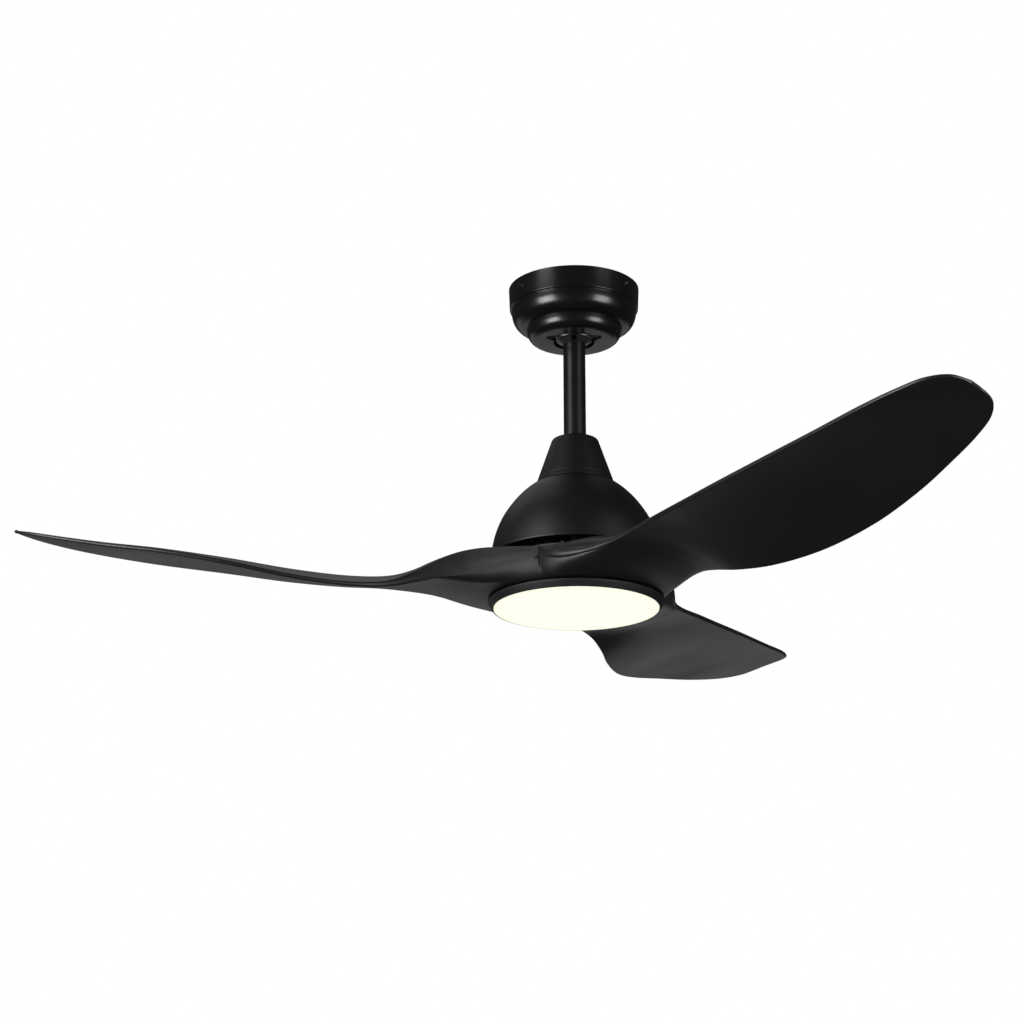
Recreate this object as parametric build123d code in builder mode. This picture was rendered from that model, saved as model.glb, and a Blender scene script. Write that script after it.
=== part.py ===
from build123d import *
from math import cos, radians, sin, sqrt
import os

# Three-blade ceiling fan with an LED light, hung from a downrod.
# Origin: centre of the ceiling plane, on the top face of the hanger bracket. +Z is up.
# Millimetres. Heights below the ceiling are negative Z.

# ---------------------------------------------------------------- driving dimensions
sweep_radius = 610.0            # blade tip circle: a 48 in fan
rod_diameter = 25.0             # downrod
rod_wall = 1.6
rod_length = 211.0              # from the top of the rod in the ball to its foot in the coupling
ball_radius = 34.0              # hanger ball
canopy_radius = 74.0            # at the ceiling
canopy_height = 62.0
canopy_wall = 1.2
dome_radius = 93.5              # at the lip of the motor housing
dome_wall = 1.8
blade_azimuths = [-52.9, 67.1, -172.9]
blade_screw_angles = [-40.0, 0.0, 40.0]
rotor_radius = 83.0             # outside of the motor's turning case
hub_wall_width = 16.5           # of the ring that the blade roots make
shaft_radius = 8.0
shaft_bore = 4.6

# named clearances
running_gap = 0.05              # shafts and bores that fit
seat_gap = 0.25                 # ball to seat, cover to housing
spin_gap = 1.7                  # blade ring over the light pan
rotor_gap = 2.0                 # blade root round the rotor wall
air_gap = 0.5                   # magnets round the stator
seat_clear = 1.66               # seat over the canopy's floor

# ---------------------------------------------------------------- derived levels
canopy_bottom_z = -canopy_height
seat_low = 46.0                 # lower end of the ball's seat, degrees under its equator
seat_high = 20.0
seat_bore = ball_radius + seat_gap
ball_centre_z = canopy_bottom_z + canopy_wall + seat_clear + seat_bore * sin(radians(seat_low))
ball_flat = 22.0                # flat top of the ball, above its centre
rod_proud = 2.5                 # rod above that flat
rod_radius = rod_diameter / 2
rod_top_z = ball_centre_z + ball_flat + rod_proud
rod_foot_z = rod_top_z - rod_length
pin_radius = 3.0
coupling_wall = 4.5
coupling_top_z = rod_foot_z + 31.5
coupling_floor = 12.3
flange_thickness = 4.0
flange_top_z = rod_foot_z - coupling_floor          # the housing sits on this face
coupling_radius = rod_radius + running_gap + coupling_wall
dome_screw_radius = coupling_radius + 9.95
flange_radius = dome_screw_radius + 8.0
dome_top_z = flange_top_z + dome_wall
dome_height = 88.1
lip_z = dome_top_z - dome_height
cover_drop = 52.3                                   # height of the coupling cover
cover_top_radius = coupling_radius + 8.55
cover_foot_radius = cover_top_radius + 18.0
cover_wall = 1.5
cover_sink = 1.5                                    # the cover's foot hangs below the housing's top face
cover_foot_z = dome_top_z - cover_sink
cover_top_z = cover_foot_z + cover_drop

rotor_cover_z = lip_z - 5.0                         # highest point of the rotor
rotor_plate = 3.0
rotor_top_z = rotor_cover_z - rotor_plate
rotor_wall_height = 24.0
rotor_floor_z = rotor_top_z - rotor_wall_height
rotor_floor = 6.0
rotor_foot_z = rotor_floor_z - rotor_floor
rotor_wall = 5.0
blade_screw_circle = rotor_radius - 15.0
root_bore = rotor_radius + rotor_gap
hub_radius = root_bore + hub_wall_width
flux_wall = 4.0
magnet_wall = 3.5
magnet_count = 14
tooth_count = 12
stator_height = 12.0
bearing_width = 8.0
race_wall = 3.0
bearing_ball_radius = 2.6

root_flange = 4.5
root_foot_z = rotor_foot_z - root_flange - 4.4      # underside of the hub ring
pan_top_z = root_foot_z - spin_gap
pan_plate = 1.6
pan_height = 8.2
pan_radius = hub_radius - 3.8                       # top edge of the light pan
pan_foot_radius = pan_radius - 5.5
pan_foot_z = pan_top_z - pan_height
bracket_plate = 2.0
shoulder_z = pan_top_z + bracket_plate              # the shaft steps down to its thread here
thread_radius = 6.5
nut_height = 4.5
nut_z = pan_top_z - pan_plate - nut_height
led_board = 1.6
lens_radius = pan_foot_radius - 1.5
lens_wall = 1.6
lens_edge_z = pan_foot_z - 0.2
lens_crown = 2.0

os.makedirs("parts", exist_ok=True)


def save(builder, name):
    """Label a finished piece and write its STEP file."""
    builder.part.label = name
    export_step(builder.part, f"parts/{name}.step")


def ring_at(z, height, outer, inner):
    """Add a plain ring that stands on z to the open part block."""
    with BuildSketch(Plane.XY.offset(z)) as ring:
        Circle(outer)
        if inner > 0:
            Circle(inner, mode=Mode.SUBTRACT)
    extrude(ring.sketch, amount=height)


def pole(radius, azimuth, z=0.0):
    """Point at a radius and azimuth, in degrees."""
    return (radius * cos(radians(azimuth)), radius * sin(radians(azimuth)), z)


def radial_plane(azimuth, radius, z):
    """Plane whose normal points out from the fan's axis."""
    out = (cos(radians(azimuth)), sin(radians(azimuth)), 0)
    return Plane(origin=pole(radius, azimuth, z), x_dir=(0, 0, 1), z_dir=out)


def pan_screw(z_seat, length, shank, head, head_height, places, upward=True):
    """Pan-head screws with a cross slot, standing at the given points."""
    way = 1 if upward else -1
    for x, y in places:
        with BuildSketch(Plane(origin=(x, y, z_seat), z_dir=(0, 0, way))) as stem:
            Circle(shank)
        extrude(stem.sketch, amount=length)
        with BuildSketch(Plane(origin=(x, y, z_seat), z_dir=(0, 0, -way))) as cap:
            Circle(head)
        extrude(cap.sketch, amount=head_height)
        with BuildSketch(Plane(origin=(x, y, z_seat - way * head_height), z_dir=(0, 0, way))) as cross:
            Rectangle(head * 1.2, head * 0.25)
            Rectangle(head * 0.25, head * 1.2)
        extrude(cross.sketch, amount=head_height * 0.5, mode=Mode.SUBTRACT)


# ---------------------------------------------------------------- ceiling mount
plate_thickness = 2.0
plate_radius = 66.0
slot_pitch = 79.4               # between slot centres: takes 70 mm and 89 mm ceiling boxes
slot_length = 20.0
slot_width = 5.5
slot_web = 12.0                 # plate round each slot
leg_width = 24.0
leg_thickness = 2.5
seat_outer = seat_bore + 4.75
leg_offset = seat_outer + 7.0
plate_bore = rod_radius + 8.5
window_circle = 45.0            # the plate's two cable windows
window_length = 44.0
window_width = 14.0
earth_place = (24.0, 33.0)
earth_radius = 1.95
seat_top_z = ball_centre_z - seat_bore * sin(radians(seat_high))
seat_foot_z = ball_centre_z - seat_bore * sin(radians(seat_low))
seat_flange_z = seat_top_z - 3.0
seat_mouth = rod_diameter + 4.0
canopy_screw_z = -9.0
canopy_screw_azimuths = [35.0, 145.0, -145.0, -35.0]
canopy_screw_radius = 2.0
tab_depth = 16.0
tab_width = 12.0
tab_outer = canopy_radius - canopy_wall - 1.6
lug_width = 5.0
lug_reach = 3.0

with BuildPart() as hanger_bracket:
    ring_at(-plate_thickness, plate_thickness, plate_radius, plate_bore)
    with BuildSketch(Plane.XY):
        with PolarLocations(window_circle, 2, start_angle=90):
            SlotOverall(window_length, window_width, rotation=90)
    extrude(amount=-plate_thickness, mode=Mode.SUBTRACT)
    with BuildSketch(Plane.XY):
        with Locations((slot_pitch / 2 + 2.0, 0), (-slot_pitch / 2 - 2.0, 0)):
            Rectangle(slot_length + slot_web, slot_width + slot_web)
    extrude(amount=-plate_thickness)
    with BuildSketch(Plane.XY):
        with Locations((slot_pitch / 2, 0), (-slot_pitch / 2, 0)):
            SlotOverall(slot_length, slot_width)
    extrude(amount=-plate_thickness, mode=Mode.SUBTRACT)
    for azimuth in canopy_screw_azimuths:
        with BuildSketch(Plane(origin=(0, 0, 0), x_dir=pole(1, azimuth), z_dir=(0, 0, 1))):
            with Locations((tab_outer - tab_width / 2, 0)):
                Rectangle(tab_width, tab_width)
        extrude(amount=-plate_thickness)
        with BuildSketch(Plane(origin=(0, 0, 0), x_dir=pole(1, azimuth), z_dir=(0, 0, 1))):
            with Locations((tab_outer - plate_thickness / 2, 0)):
                Rectangle(plate_thickness, tab_width)
        extrude(amount=-tab_depth)
    with BuildSketch(Plane.XY):
        with Locations((leg_offset, 0), (-leg_offset, 0)):
            Rectangle(leg_thickness, leg_width)
    extrude(amount=seat_flange_z)
    with BuildSketch(Plane.XY.offset(seat_flange_z)):
        Circle(leg_offset + leg_thickness / 2)
        Circle(seat_outer - 1.0, mode=Mode.SUBTRACT)
        Rectangle(2 * leg_offset + 2 * leg_thickness, leg_width, mode=Mode.INTERSECT)
    extrude(amount=leg_thickness)
    with BuildSketch(Plane.XZ):
        with BuildLine():
            high = (seat_bore * cos(radians(seat_high)), seat_top_z)
            low = (seat_bore * cos(radians(seat_low)), seat_foot_z)
            middle_angle = radians((seat_high + seat_low) / 2)
            middle = (seat_bore * cos(middle_angle), ball_centre_z - seat_bore * sin(middle_angle))
            ThreePointArc(high, middle, low)
            Polyline(low, (seat_outer, seat_foot_z), (seat_outer, seat_top_z), high)
        make_face()
    revolve(axis=Axis.Z)
    with BuildSketch(Plane.XY.offset(seat_foot_z)):
        with Locations((0, seat_outer / 2 + 5.0)):
            Rectangle(seat_mouth, seat_outer + 10.0)
    extrude(amount=seat_top_z - seat_foot_z, mode=Mode.SUBTRACT)
    with BuildSketch(Plane.XY.offset(seat_foot_z + 4.0)):
        with Locations((0, -(seat_outer + ball_radius - lug_reach) / 2)):
            Rectangle(lug_width, seat_outer - ball_radius + lug_reach)
    extrude(amount=seat_top_z - seat_foot_z - 4.0)
    with BuildSketch(Plane.XY.offset(-plate_thickness)):
        with Locations(earth_place):
            Circle(earth_radius + running_gap)
    extrude(amount=plate_thickness, mode=Mode.SUBTRACT)
    for azimuth in canopy_screw_azimuths:
        with BuildSketch(radial_plane(azimuth, tab_outer - 2 * plate_thickness, canopy_screw_z)):
            Circle(canopy_screw_radius + running_gap)
        extrude(amount=3 * plate_thickness, mode=Mode.SUBTRACT)
save(hanger_bracket, "hanger_bracket")

band_height = 24.0              # straight upper band of the canopy
band_taper = 0.9
groove_depth = 1.2
groove_height = 1.6
crease_radius = 54.6
crease_z = -46.6
step_radius = 53.4
face_radius = 41.0
canopy_hole = rod_radius + 10.5
notch_reach = canopy_hole + 14.0
notch_length = 16.0
notch_width = 7.0
notch_azimuths = [-25.0, -155.0]


def canopy_outline(inset):
    """Half profile of the canopy, drawn inset from its outer skin."""
    top = 0.0 if inset == 0 else 1.0
    shoulder_z = -band_height - groove_height
    band = canopy_radius - band_taper
    with BuildLine() as outline:
        Polyline((0, top), (canopy_radius - inset, top), (band - inset, -band_height),
                 (band - groove_depth - inset, shoulder_z))
        shoulder = (band - groove_depth - inset, shoulder_z)
        crease = (crease_radius - inset, crease_z + inset)
        bulge = (crease[0] + 0.76 * (shoulder[0] - crease[0]), shoulder[1] + 0.66 * (crease[1] - shoulder[1]))
        ThreePointArc(shoulder, bulge, crease)
        step = (step_radius - inset, crease_z - 0.8 + inset)
        floor = (face_radius - inset, canopy_bottom_z + inset)
        tier = (floor[0] + 0.76 * (step[0] - floor[0]), step[1] + 0.62 * (floor[1] - step[1]))
        Line(crease, step)
        ThreePointArc(step, tier, floor)
        Polyline(floor, (0, canopy_bottom_z + inset), (0, top))
    return outline.edges()


with BuildPart() as canopy:
    with BuildSketch(Plane.XZ):
        make_face(canopy_outline(0))
    revolve(axis=Axis.Z)
    with BuildSketch(Plane.XZ):
        make_face(canopy_outline(canopy_wall))
    revolve(axis=Axis.Z, mode=Mode.SUBTRACT)
    with BuildSketch(Plane.XY.offset(canopy_bottom_z)):
        Circle(canopy_hole)
        for azimuth in notch_azimuths:
            with Locations(Location(pole(notch_reach - notch_length / 2, azimuth), (0, 0, 1), azimuth)):
                SlotOverall(notch_length, notch_width)
    extrude(amount=canopy_wall, mode=Mode.SUBTRACT)
    for azimuth in canopy_screw_azimuths:
        with BuildSketch(radial_plane(azimuth, canopy_radius - 4.0, canopy_screw_z)):
            Circle(canopy_screw_radius + seat_gap)
        extrude(amount=8.0, mode=Mode.SUBTRACT)
save(canopy, "canopy")

screw_seat = canopy_radius + band_taper * canopy_screw_z / band_height + seat_gap
screw_end = tab_outer - plate_thickness - 2.0
canopy_screw_head = 3.6
canopy_screw_head_height = 1.8
with BuildPart() as canopy_screws:
    for azimuth in canopy_screw_azimuths:
        with BuildSketch(radial_plane(azimuth, screw_end, canopy_screw_z)):
            Circle(canopy_screw_radius)
        extrude(amount=screw_seat - screw_end)
        with BuildSketch(radial_plane(azimuth, screw_seat, canopy_screw_z)):
            Circle(canopy_screw_head)
        extrude(amount=canopy_screw_head_height, taper=20)
        with BuildSketch(radial_plane(azimuth, screw_seat + canopy_screw_head_height, canopy_screw_z)):
            Rectangle(canopy_screw_head, 0.8)
            Rectangle(0.8, canopy_screw_head)
        extrude(amount=-1.0, mode=Mode.SUBTRACT)
save(canopy_screws, "canopy_screws")

with BuildPart() as earth_screw:
    pan_screw(-plate_thickness, 3.4, earth_radius, 3.8, 2.0, [earth_place])
save(earth_screw, "earth_screw")

block_length = 34.0
block_width = 13.0
block_height = 9.0
barrel_height = 4.0             # the three screw barrels stand on the block
block_y = -56.0
with BuildPart() as terminal_block:
    with BuildSketch(Plane.XY.offset(-plate_thickness)):
        with Locations((0, block_y)):
            Rectangle(block_length, block_width)
    extrude(amount=-block_height)
    with BuildSketch(Plane.XY.offset(-plate_thickness - block_height)):
        with Locations((0, block_y)):
            with GridLocations(block_length / 3, 1, 3, 1):
                Rectangle(block_length / 3 - 2.4, 7.5)
    extrude(amount=-barrel_height)
    with BuildSketch(Plane.XY.offset(-plate_thickness - block_height - barrel_height)):
        with Locations((0, block_y)):
            with GridLocations(block_length / 3, 1, 3, 1):
                Circle(2.0)
    extrude(amount=3.0, mode=Mode.SUBTRACT)
save(terminal_block, "terminal_block")

lead_radius = 1.3
with BuildPart() as supply_leads:
    for offset in (-block_length / 3, 0.0, block_length / 3):
        start = (offset, block_y + block_width / 2, -plate_thickness - 5.0)
        bend = (offset, -34.0, -plate_thickness - 5.0)
        end = (offset * 0.35, -15.0, -plate_thickness - 2.2)
        with BuildLine():
            FilletPolyline(start, bend, end, radius=12.0)
        with BuildSketch(Plane(origin=start, z_dir=(0, 1, 0))):
            Circle(lead_radius)
        sweep()
save(supply_leads, "supply_leads")

# ---------------------------------------------------------------- stem: ball, rod and coupling
pin_length = 2 * (ball_radius - 8.0)
ball_screw_rise = 12.0          # set screw above the ball's centre
ball_screw_radius = 2.5
ball_screw_length = sqrt(ball_radius**2 - ball_screw_rise**2) - rod_radius - 5.3
groove_clear = 0.6              # ball's groove round the seat's lug
with BuildPart() as hanger_ball:
    with Locations((0, 0, ball_centre_z)):
        Sphere(ball_radius)
    with BuildSketch(Plane.XY.offset(ball_centre_z + ball_flat)):
        Rectangle(2 * ball_radius, 2 * ball_radius)
    extrude(amount=ball_radius, mode=Mode.SUBTRACT)
    with BuildSketch(Plane.XY.offset(ball_centre_z - ball_radius)):
        Circle(rod_radius + running_gap)
    extrude(amount=2 * ball_radius, mode=Mode.SUBTRACT)
    with BuildSketch(Plane.YZ.offset(-pin_length / 2)):
        with Locations((0, ball_centre_z)):
            Circle(pin_radius + running_gap)
    extrude(amount=pin_length, mode=Mode.SUBTRACT)
    with BuildSketch(Plane.YZ.offset(-lug_width / 2 - groove_clear)):
        with BuildLine():
            groove_in = ball_radius - lug_reach - 2 * groove_clear
            groove_out = ball_radius + 2.0
            arc_in = [(-groove_in * cos(radians(a)), ball_centre_z + groove_in * sin(radians(a)))
                      for a in (-68.0, -25.0, 20.0)]
            arc_out = [(-groove_out * cos(radians(a)), ball_centre_z + groove_out * sin(radians(a)))
                       for a in (20.0, -25.0, -68.0)]
            ThreePointArc(*arc_in)
            Line(arc_in[2], arc_out[0])
            ThreePointArc(*arc_out)
            Line(arc_out[2], arc_in[0])
        make_face()
    extrude(amount=lug_width + 2 * groove_clear, mode=Mode.SUBTRACT)
    with BuildSketch(Plane.XZ.offset(-ball_radius)):
        with Locations((0, ball_centre_z + ball_screw_rise)):
            Circle(ball_screw_radius + running_gap)
    extrude(amount=ball_radius, mode=Mode.SUBTRACT)
save(hanger_ball, "hanger_ball")

with BuildPart() as ball_pin:
    with BuildSketch(Plane.YZ.offset(-pin_length / 2)):
        with Locations((0, ball_centre_z)):
            Circle(pin_radius)
    extrude(amount=pin_length)
save(ball_pin, "ball_pin")

with BuildPart() as ball_set_screw:
    with BuildSketch(Plane.XZ.offset(-rod_radius - ball_screw_length)):
        with Locations((0, ball_centre_z + ball_screw_rise)):
            Circle(ball_screw_radius)
    extrude(amount=ball_screw_length - running_gap)
    with BuildSketch(Plane.XZ.offset(-rod_radius - ball_screw_length)):
        with Locations((0, ball_centre_z + ball_screw_rise)):
            RegularPolygon(1.4, 6)
    extrude(amount=3.0, mode=Mode.SUBTRACT)
save(ball_set_screw, "ball_set_screw")

bolt_z = rod_foot_z + 15.0
with BuildPart() as downrod:
    ring_at(rod_foot_z, rod_length, rod_radius, rod_radius - rod_wall)
    with BuildSketch(Plane.YZ.offset(-rod_radius)):
        with Locations((0, ball_centre_z), (0, bolt_z)):
            Circle(pin_radius + running_gap)
    extrude(amount=2 * rod_radius, mode=Mode.SUBTRACT)
save(downrod, "downrod")

set_screw_z = rod_foot_z + 24.0
set_screw_radius = 2.5
set_screw_proud = 2.5
shaft_top_z = rod_foot_z - 1.0
dome_screw_shank = 2.0
with BuildPart() as motor_coupling:
    ring_at(flange_top_z, coupling_top_z - flange_top_z, coupling_radius, rod_radius + running_gap)
    ring_at(flange_top_z - flange_thickness, rod_foot_z - flange_top_z + flange_thickness,
            coupling_radius, shaft_radius + running_gap)
    ring_at(flange_top_z - flange_thickness, flange_thickness, flange_radius, shaft_radius + running_gap)
    with BuildSketch(Plane.YZ.offset(-coupling_radius - 1.0)):
        with Locations((0, bolt_z)):
            Circle(pin_radius + running_gap)
    extrude(amount=2 * coupling_radius + 2.0, mode=Mode.SUBTRACT)
    with BuildSketch(Plane.XZ.offset(-coupling_radius - 1.0)):
        with Locations((0, set_screw_z)):
            Circle(set_screw_radius + running_gap)
    extrude(amount=2 * coupling_radius + 2.0, mode=Mode.SUBTRACT)
    with BuildSketch(Plane.XY.offset(flange_top_z)):
        with PolarLocations(dome_screw_radius, 3, start_angle=30):
            Circle(dome_screw_shank + running_gap)
    extrude(amount=-flange_thickness, mode=Mode.SUBTRACT)
save(motor_coupling, "motor_coupling")

bolt_reach = coupling_radius + 3.0
with BuildPart() as coupling_bolt:
    with BuildSketch(Plane.YZ.offset(-coupling_radius)):
        with Locations((0, bolt_z)):
            Circle(pin_radius)
    extrude(amount=coupling_radius + bolt_reach)
    with BuildSketch(Plane.YZ.offset(-coupling_radius)):
        with Locations((0, bolt_z)):
            RegularPolygon(5.2, 6)
    extrude(amount=-3.0)
    with BuildSketch(Plane.XY.offset(bolt_z - pin_radius - 1.0)):
        with Locations((coupling_radius + 1.5, 0)):
            Circle(0.75)
    extrude(amount=2 * pin_radius + 2.0, mode=Mode.SUBTRACT)
save(coupling_bolt, "coupling_bolt")

with BuildPart() as spring_clip:
    clip_x = coupling_radius + 1.5
    clip_top = (clip_x, 0, bolt_z + 7.0)
    clip_side = (clip_x, 6.0, bolt_z + 7.0)
    clip_low = (clip_x, 6.0, bolt_z - 4.0)
    with BuildLine():
        FilletPolyline((clip_x, 0, bolt_z - 6.0), clip_top, clip_side, clip_low, radius=2.5)
    with BuildSketch(Plane(origin=(clip_x, 0, bolt_z - 6.0), z_dir=(0, 0, 1))):
        Circle(0.7)
    sweep()
save(spring_clip, "spring_clip")

with BuildPart() as coupling_set_screws:
    for side in (1, -1):
        inner = (0, side * (rod_radius + running_gap), set_screw_z)
        with BuildSketch(Plane(origin=inner, z_dir=(0, side, 0))):
            Circle(set_screw_radius)
        extrude(amount=coupling_wall + set_screw_proud)
        with BuildSketch(Plane(origin=(0, side * (coupling_radius + set_screw_proud), set_screw_z),
                               z_dir=(0, -side, 0))):
            RegularPolygon(1.4, 6)
        extrude(amount=3.0, mode=Mode.SUBTRACT)
save(coupling_set_screws, "coupling_set_screws")

rod_lead_radius = 1.8
lead_side = pin_radius + rod_lead_radius + 1.6      # the leads pass beside the ball pin and the bolt
lead_inset = shaft_bore - rod_lead_radius - 0.4     # and close up to enter the shaft
with BuildPart() as rod_leads:
    for side in (1, -1):
        with BuildLine():
            FilletPolyline((0, side * lead_side, rod_top_z + 2.0), (0, side * lead_side, rod_foot_z + 10.5),
                           (0, side * lead_inset, rod_foot_z + 1.5), (0, side * lead_inset, nut_z + 0.5),
                           radius=8.0)
        with BuildSketch(Plane(origin=(0, side * lead_side, rod_top_z + 2.0), z_dir=(0, 0, -1))):
            Circle(rod_lead_radius)
        sweep()
save(rod_leads, "rod_leads")

# ---------------------------------------------------------------- coupling cover
bead_rise = 5.2
with BuildPart() as coupling_cover:
    slope = (cover_foot_radius - cover_top_radius) / cover_drop
    with BuildSketch(Plane.XZ):
        with BuildLine():
            Polyline((0, cover_foot_z), (cover_foot_radius, cover_foot_z), (cover_top_radius, cover_top_z),
                     (0, cover_top_z), (0, cover_foot_z))
        make_face()
    revolve(axis=Axis.Z)
    fillet(coupling_cover.edges().filter_by(GeomType.CIRCLE).sort_by(Axis.Z)[-1], radius=4.0)
    with BuildSketch(Plane.XZ):
        with BuildLine():
            Polyline((0, cover_foot_z), (cover_foot_radius - cover_wall, cover_foot_z),
                     (cover_top_radius - cover_wall - 1.0, cover_top_z - cover_wall),
                     (0, cover_top_z - cover_wall), (0, cover_foot_z))
        make_face()
    revolve(axis=Axis.Z, mode=Mode.SUBTRACT)
    with BuildSketch(Plane.XY.offset(cover_top_z)):
        Circle(rod_radius + 1.0)
    extrude(amount=-2 * cover_wall, mode=Mode.SUBTRACT)
    with BuildSketch(Plane.XY.offset(cover_foot_z + bead_rise)):
        Circle(cover_foot_radius + 2.0)
        Circle(cover_foot_radius - slope * bead_rise - 0.5, mode=Mode.SUBTRACT)
    extrude(amount=0.8, mode=Mode.SUBTRACT)
save(coupling_cover, "coupling_cover")

# ---------------------------------------------------------------- motor housing
dome_rise = dome_top_z - lip_z
shoulder_radius = cover_foot_radius - 5.6


def dome_outline(inset):
    """Half profile of the housing, drawn inset from its outer skin."""
    foot = (dome_radius - inset, lip_z - (1.0 if inset else 0.0))
    flank = (dome_radius - 4.9 - inset, lip_z + dome_height * 0.32)
    haunch = (dome_radius - 21.4 - inset * 0.8, lip_z + dome_height * 0.675 - inset * 0.6)
    brow = (dome_radius - 33.4 - inset * 0.55, lip_z + dome_height * 0.832 - inset * 0.85)
    crown = (shoulder_radius, dome_top_z - inset)
    with BuildLine() as outline:
        Spline(foot, flank, haunch, brow, crown, tangents=[(-0.04, 1.0), (-1.0, 0.42)])
        Polyline(crown, (0, crown[1]), (0, foot[1]), foot)
    return outline.edges()


with BuildPart() as motor_housing:
    with BuildSketch(Plane.XZ):
        make_face(dome_outline(0))
    revolve(axis=Axis.Z)
    with BuildSketch(Plane.XZ):
        make_face(dome_outline(dome_wall))
    revolve(axis=Axis.Z, mode=Mode.SUBTRACT)
    with BuildSketch(Plane.XY.offset(dome_top_z + 1.0)):
        Circle(coupling_radius + 0.5)
        with PolarLocations(dome_screw_radius, 3, start_angle=30):
            Circle(dome_screw_shank + 0.3)
    extrude(amount=-8.0, mode=Mode.SUBTRACT)
save(motor_housing, "motor_housing")

with BuildPart() as housing_screws:
    places = [pole(dome_screw_radius, azimuth)[:2] for azimuth in (30, 150, 270)]
    pan_screw(dome_top_z, dome_wall + 3.5, dome_screw_shank, 3.6, 2.2, places, upward=False)
save(housing_screws, "housing_screws")

# ---------------------------------------------------------------- shaft, driver and stator
with BuildPart() as motor_shaft:
    ring_at(shoulder_z, shaft_top_z - shoulder_z, shaft_radius, shaft_bore)
    ring_at(nut_z, shoulder_z - nut_z, thread_radius, shaft_bore)
save(motor_shaft, "motor_shaft")

driver_z = flange_top_z - 44.0
driver_radius = 60.0
standoff_height = 8.0
standoff_circle = 48.0
with BuildPart() as driver_plate:
    ring_at(driver_z, 2.0, driver_radius, shaft_radius + running_gap)
    ring_at(driver_z + 2.0, 8.0, shaft_radius + 4.0, shaft_radius + running_gap)
save(driver_plate, "driver_plate")

with BuildPart() as board_standoffs:
    with BuildSketch(Plane.XY.offset(driver_z + 2.0)):
        with PolarLocations(standoff_circle, 4, start_angle=45):
            RegularPolygon(2.8, 6)
    extrude(amount=standoff_height)
save(board_standoffs, "board_standoffs")

board_z = driver_z + 2.0 + standoff_height
with BuildPart() as driver_board:
    ring_at(board_z, 1.6, driver_radius - 5.0, shaft_radius + 7.0)
save(driver_board, "driver_board")

with BuildPart() as driver_components:
    with BuildSketch(Plane.XY.offset(board_z + 1.6)):
        with PolarLocations(33.0, 3, start_angle=20):
            Circle(6.0)
    extrude(amount=18.0)
    with BuildSketch(Plane.XY.offset(board_z + 1.6)):
        with Locations((-34.0, -8.0)):
            Rectangle(16.0, 20.0)
    extrude(amount=14.0)
    with BuildSketch(Plane.XY.offset(board_z + 1.6)):
        with PolarLocations(38.0, 3, start_angle=62):
            Rectangle(10.0, 7.0)
    extrude(amount=6.0)
save(driver_components, "driver_components")

stator_radius = rotor_radius - rotor_wall - flux_wall - magnet_wall - air_gap
stator_z = rotor_floor_z + (rotor_wall_height - stator_height) / 2
carrier_radius = 22.0
yoke_radius = 34.0
tooth_width = 7.0
with BuildPart() as stator_carrier:
    ring_at(stator_z + 1.0, stator_height - 2.0, carrier_radius, shaft_radius + running_gap)
save(stator_carrier, "stator_carrier")

with BuildPart() as stator_core:
    with BuildSketch(Plane.XY.offset(stator_z)):
        Circle(stator_radius)
        Circle(stator_radius - 4.0, mode=Mode.SUBTRACT)
        with PolarLocations(stator_radius, tooth_count, start_angle=180.0 / tooth_count):
            Rectangle(12.0, 4.0, mode=Mode.SUBTRACT)
        Circle(yoke_radius)
        with PolarLocations((yoke_radius + stator_radius - 2.0) / 2, tooth_count):
            Rectangle(stator_radius - yoke_radius, tooth_width)
        Circle(carrier_radius + running_gap, mode=Mode.SUBTRACT)
    extrude(amount=stator_height)
save(stator_core, "stator_core")

coil_length = stator_radius - yoke_radius - 8.0
with BuildPart() as stator_coils:
    with BuildSketch(Plane.XY.offset(stator_z - 2.5)):
        with PolarLocations((yoke_radius + stator_radius - 4.0) / 2, tooth_count):
            Rectangle(coil_length, tooth_width + 5.0)
    extrude(amount=stator_height + 5.0)
    with BuildSketch(Plane.XY.offset(stator_z - running_gap)):
        with PolarLocations((yoke_radius + stator_radius - 4.0) / 2, tooth_count):
            Rectangle(coil_length + 1.0, tooth_width + 2 * running_gap)
    extrude(amount=stator_height + 2 * running_gap, mode=Mode.SUBTRACT)
save(stator_coils, "stator_coils")

# ---------------------------------------------------------------- bearings
inner_race_radius = shaft_radius + race_wall
ball_circle = inner_race_radius + bearing_ball_radius + 0.4
outer_race_bore = ball_circle + bearing_ball_radius + 0.4
outer_race_radius = outer_race_bore + race_wall
upper_bearing_z = rotor_cover_z - bearing_width - 0.6
lower_bearing_z = rotor_foot_z - 3.0
bearing_levels = [upper_bearing_z, lower_bearing_z]
track_depth = 0.3

with BuildPart() as bearing_inner_races:
    for level in bearing_levels:
        ring_at(level, bearing_width, inner_race_radius, shaft_radius + running_gap)
save(bearing_inner_races, "bearing_inner_races")

with BuildPart() as bearing_balls:
    for level in bearing_levels:
        with Locations((0, 0, level + bearing_width / 2)):
            with PolarLocations(ball_circle, 9):
                Sphere(bearing_ball_radius + 0.35)
save(bearing_balls, "bearing_balls")

with BuildPart() as bearing_outer_races:
    for level in bearing_levels:
        ring_at(level, bearing_width, outer_race_radius, outer_race_bore)
save(bearing_outer_races, "bearing_outer_races")

clip_width = 2.4
clip_thickness = 1.1
with BuildPart() as retaining_rings:
    for level in (upper_bearing_z + bearing_width, lower_bearing_z - clip_thickness):
        ring_at(level, clip_thickness, shaft_radius + clip_width, shaft_radius + running_gap)
        with BuildSketch(Plane.XY.offset(level)):
            with Locations((shaft_radius + 2.0, 0)):
                Rectangle(6.0, 5.0)
        extrude(amount=clip_thickness, mode=Mode.SUBTRACT)
save(retaining_rings, "retaining_rings")

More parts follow.
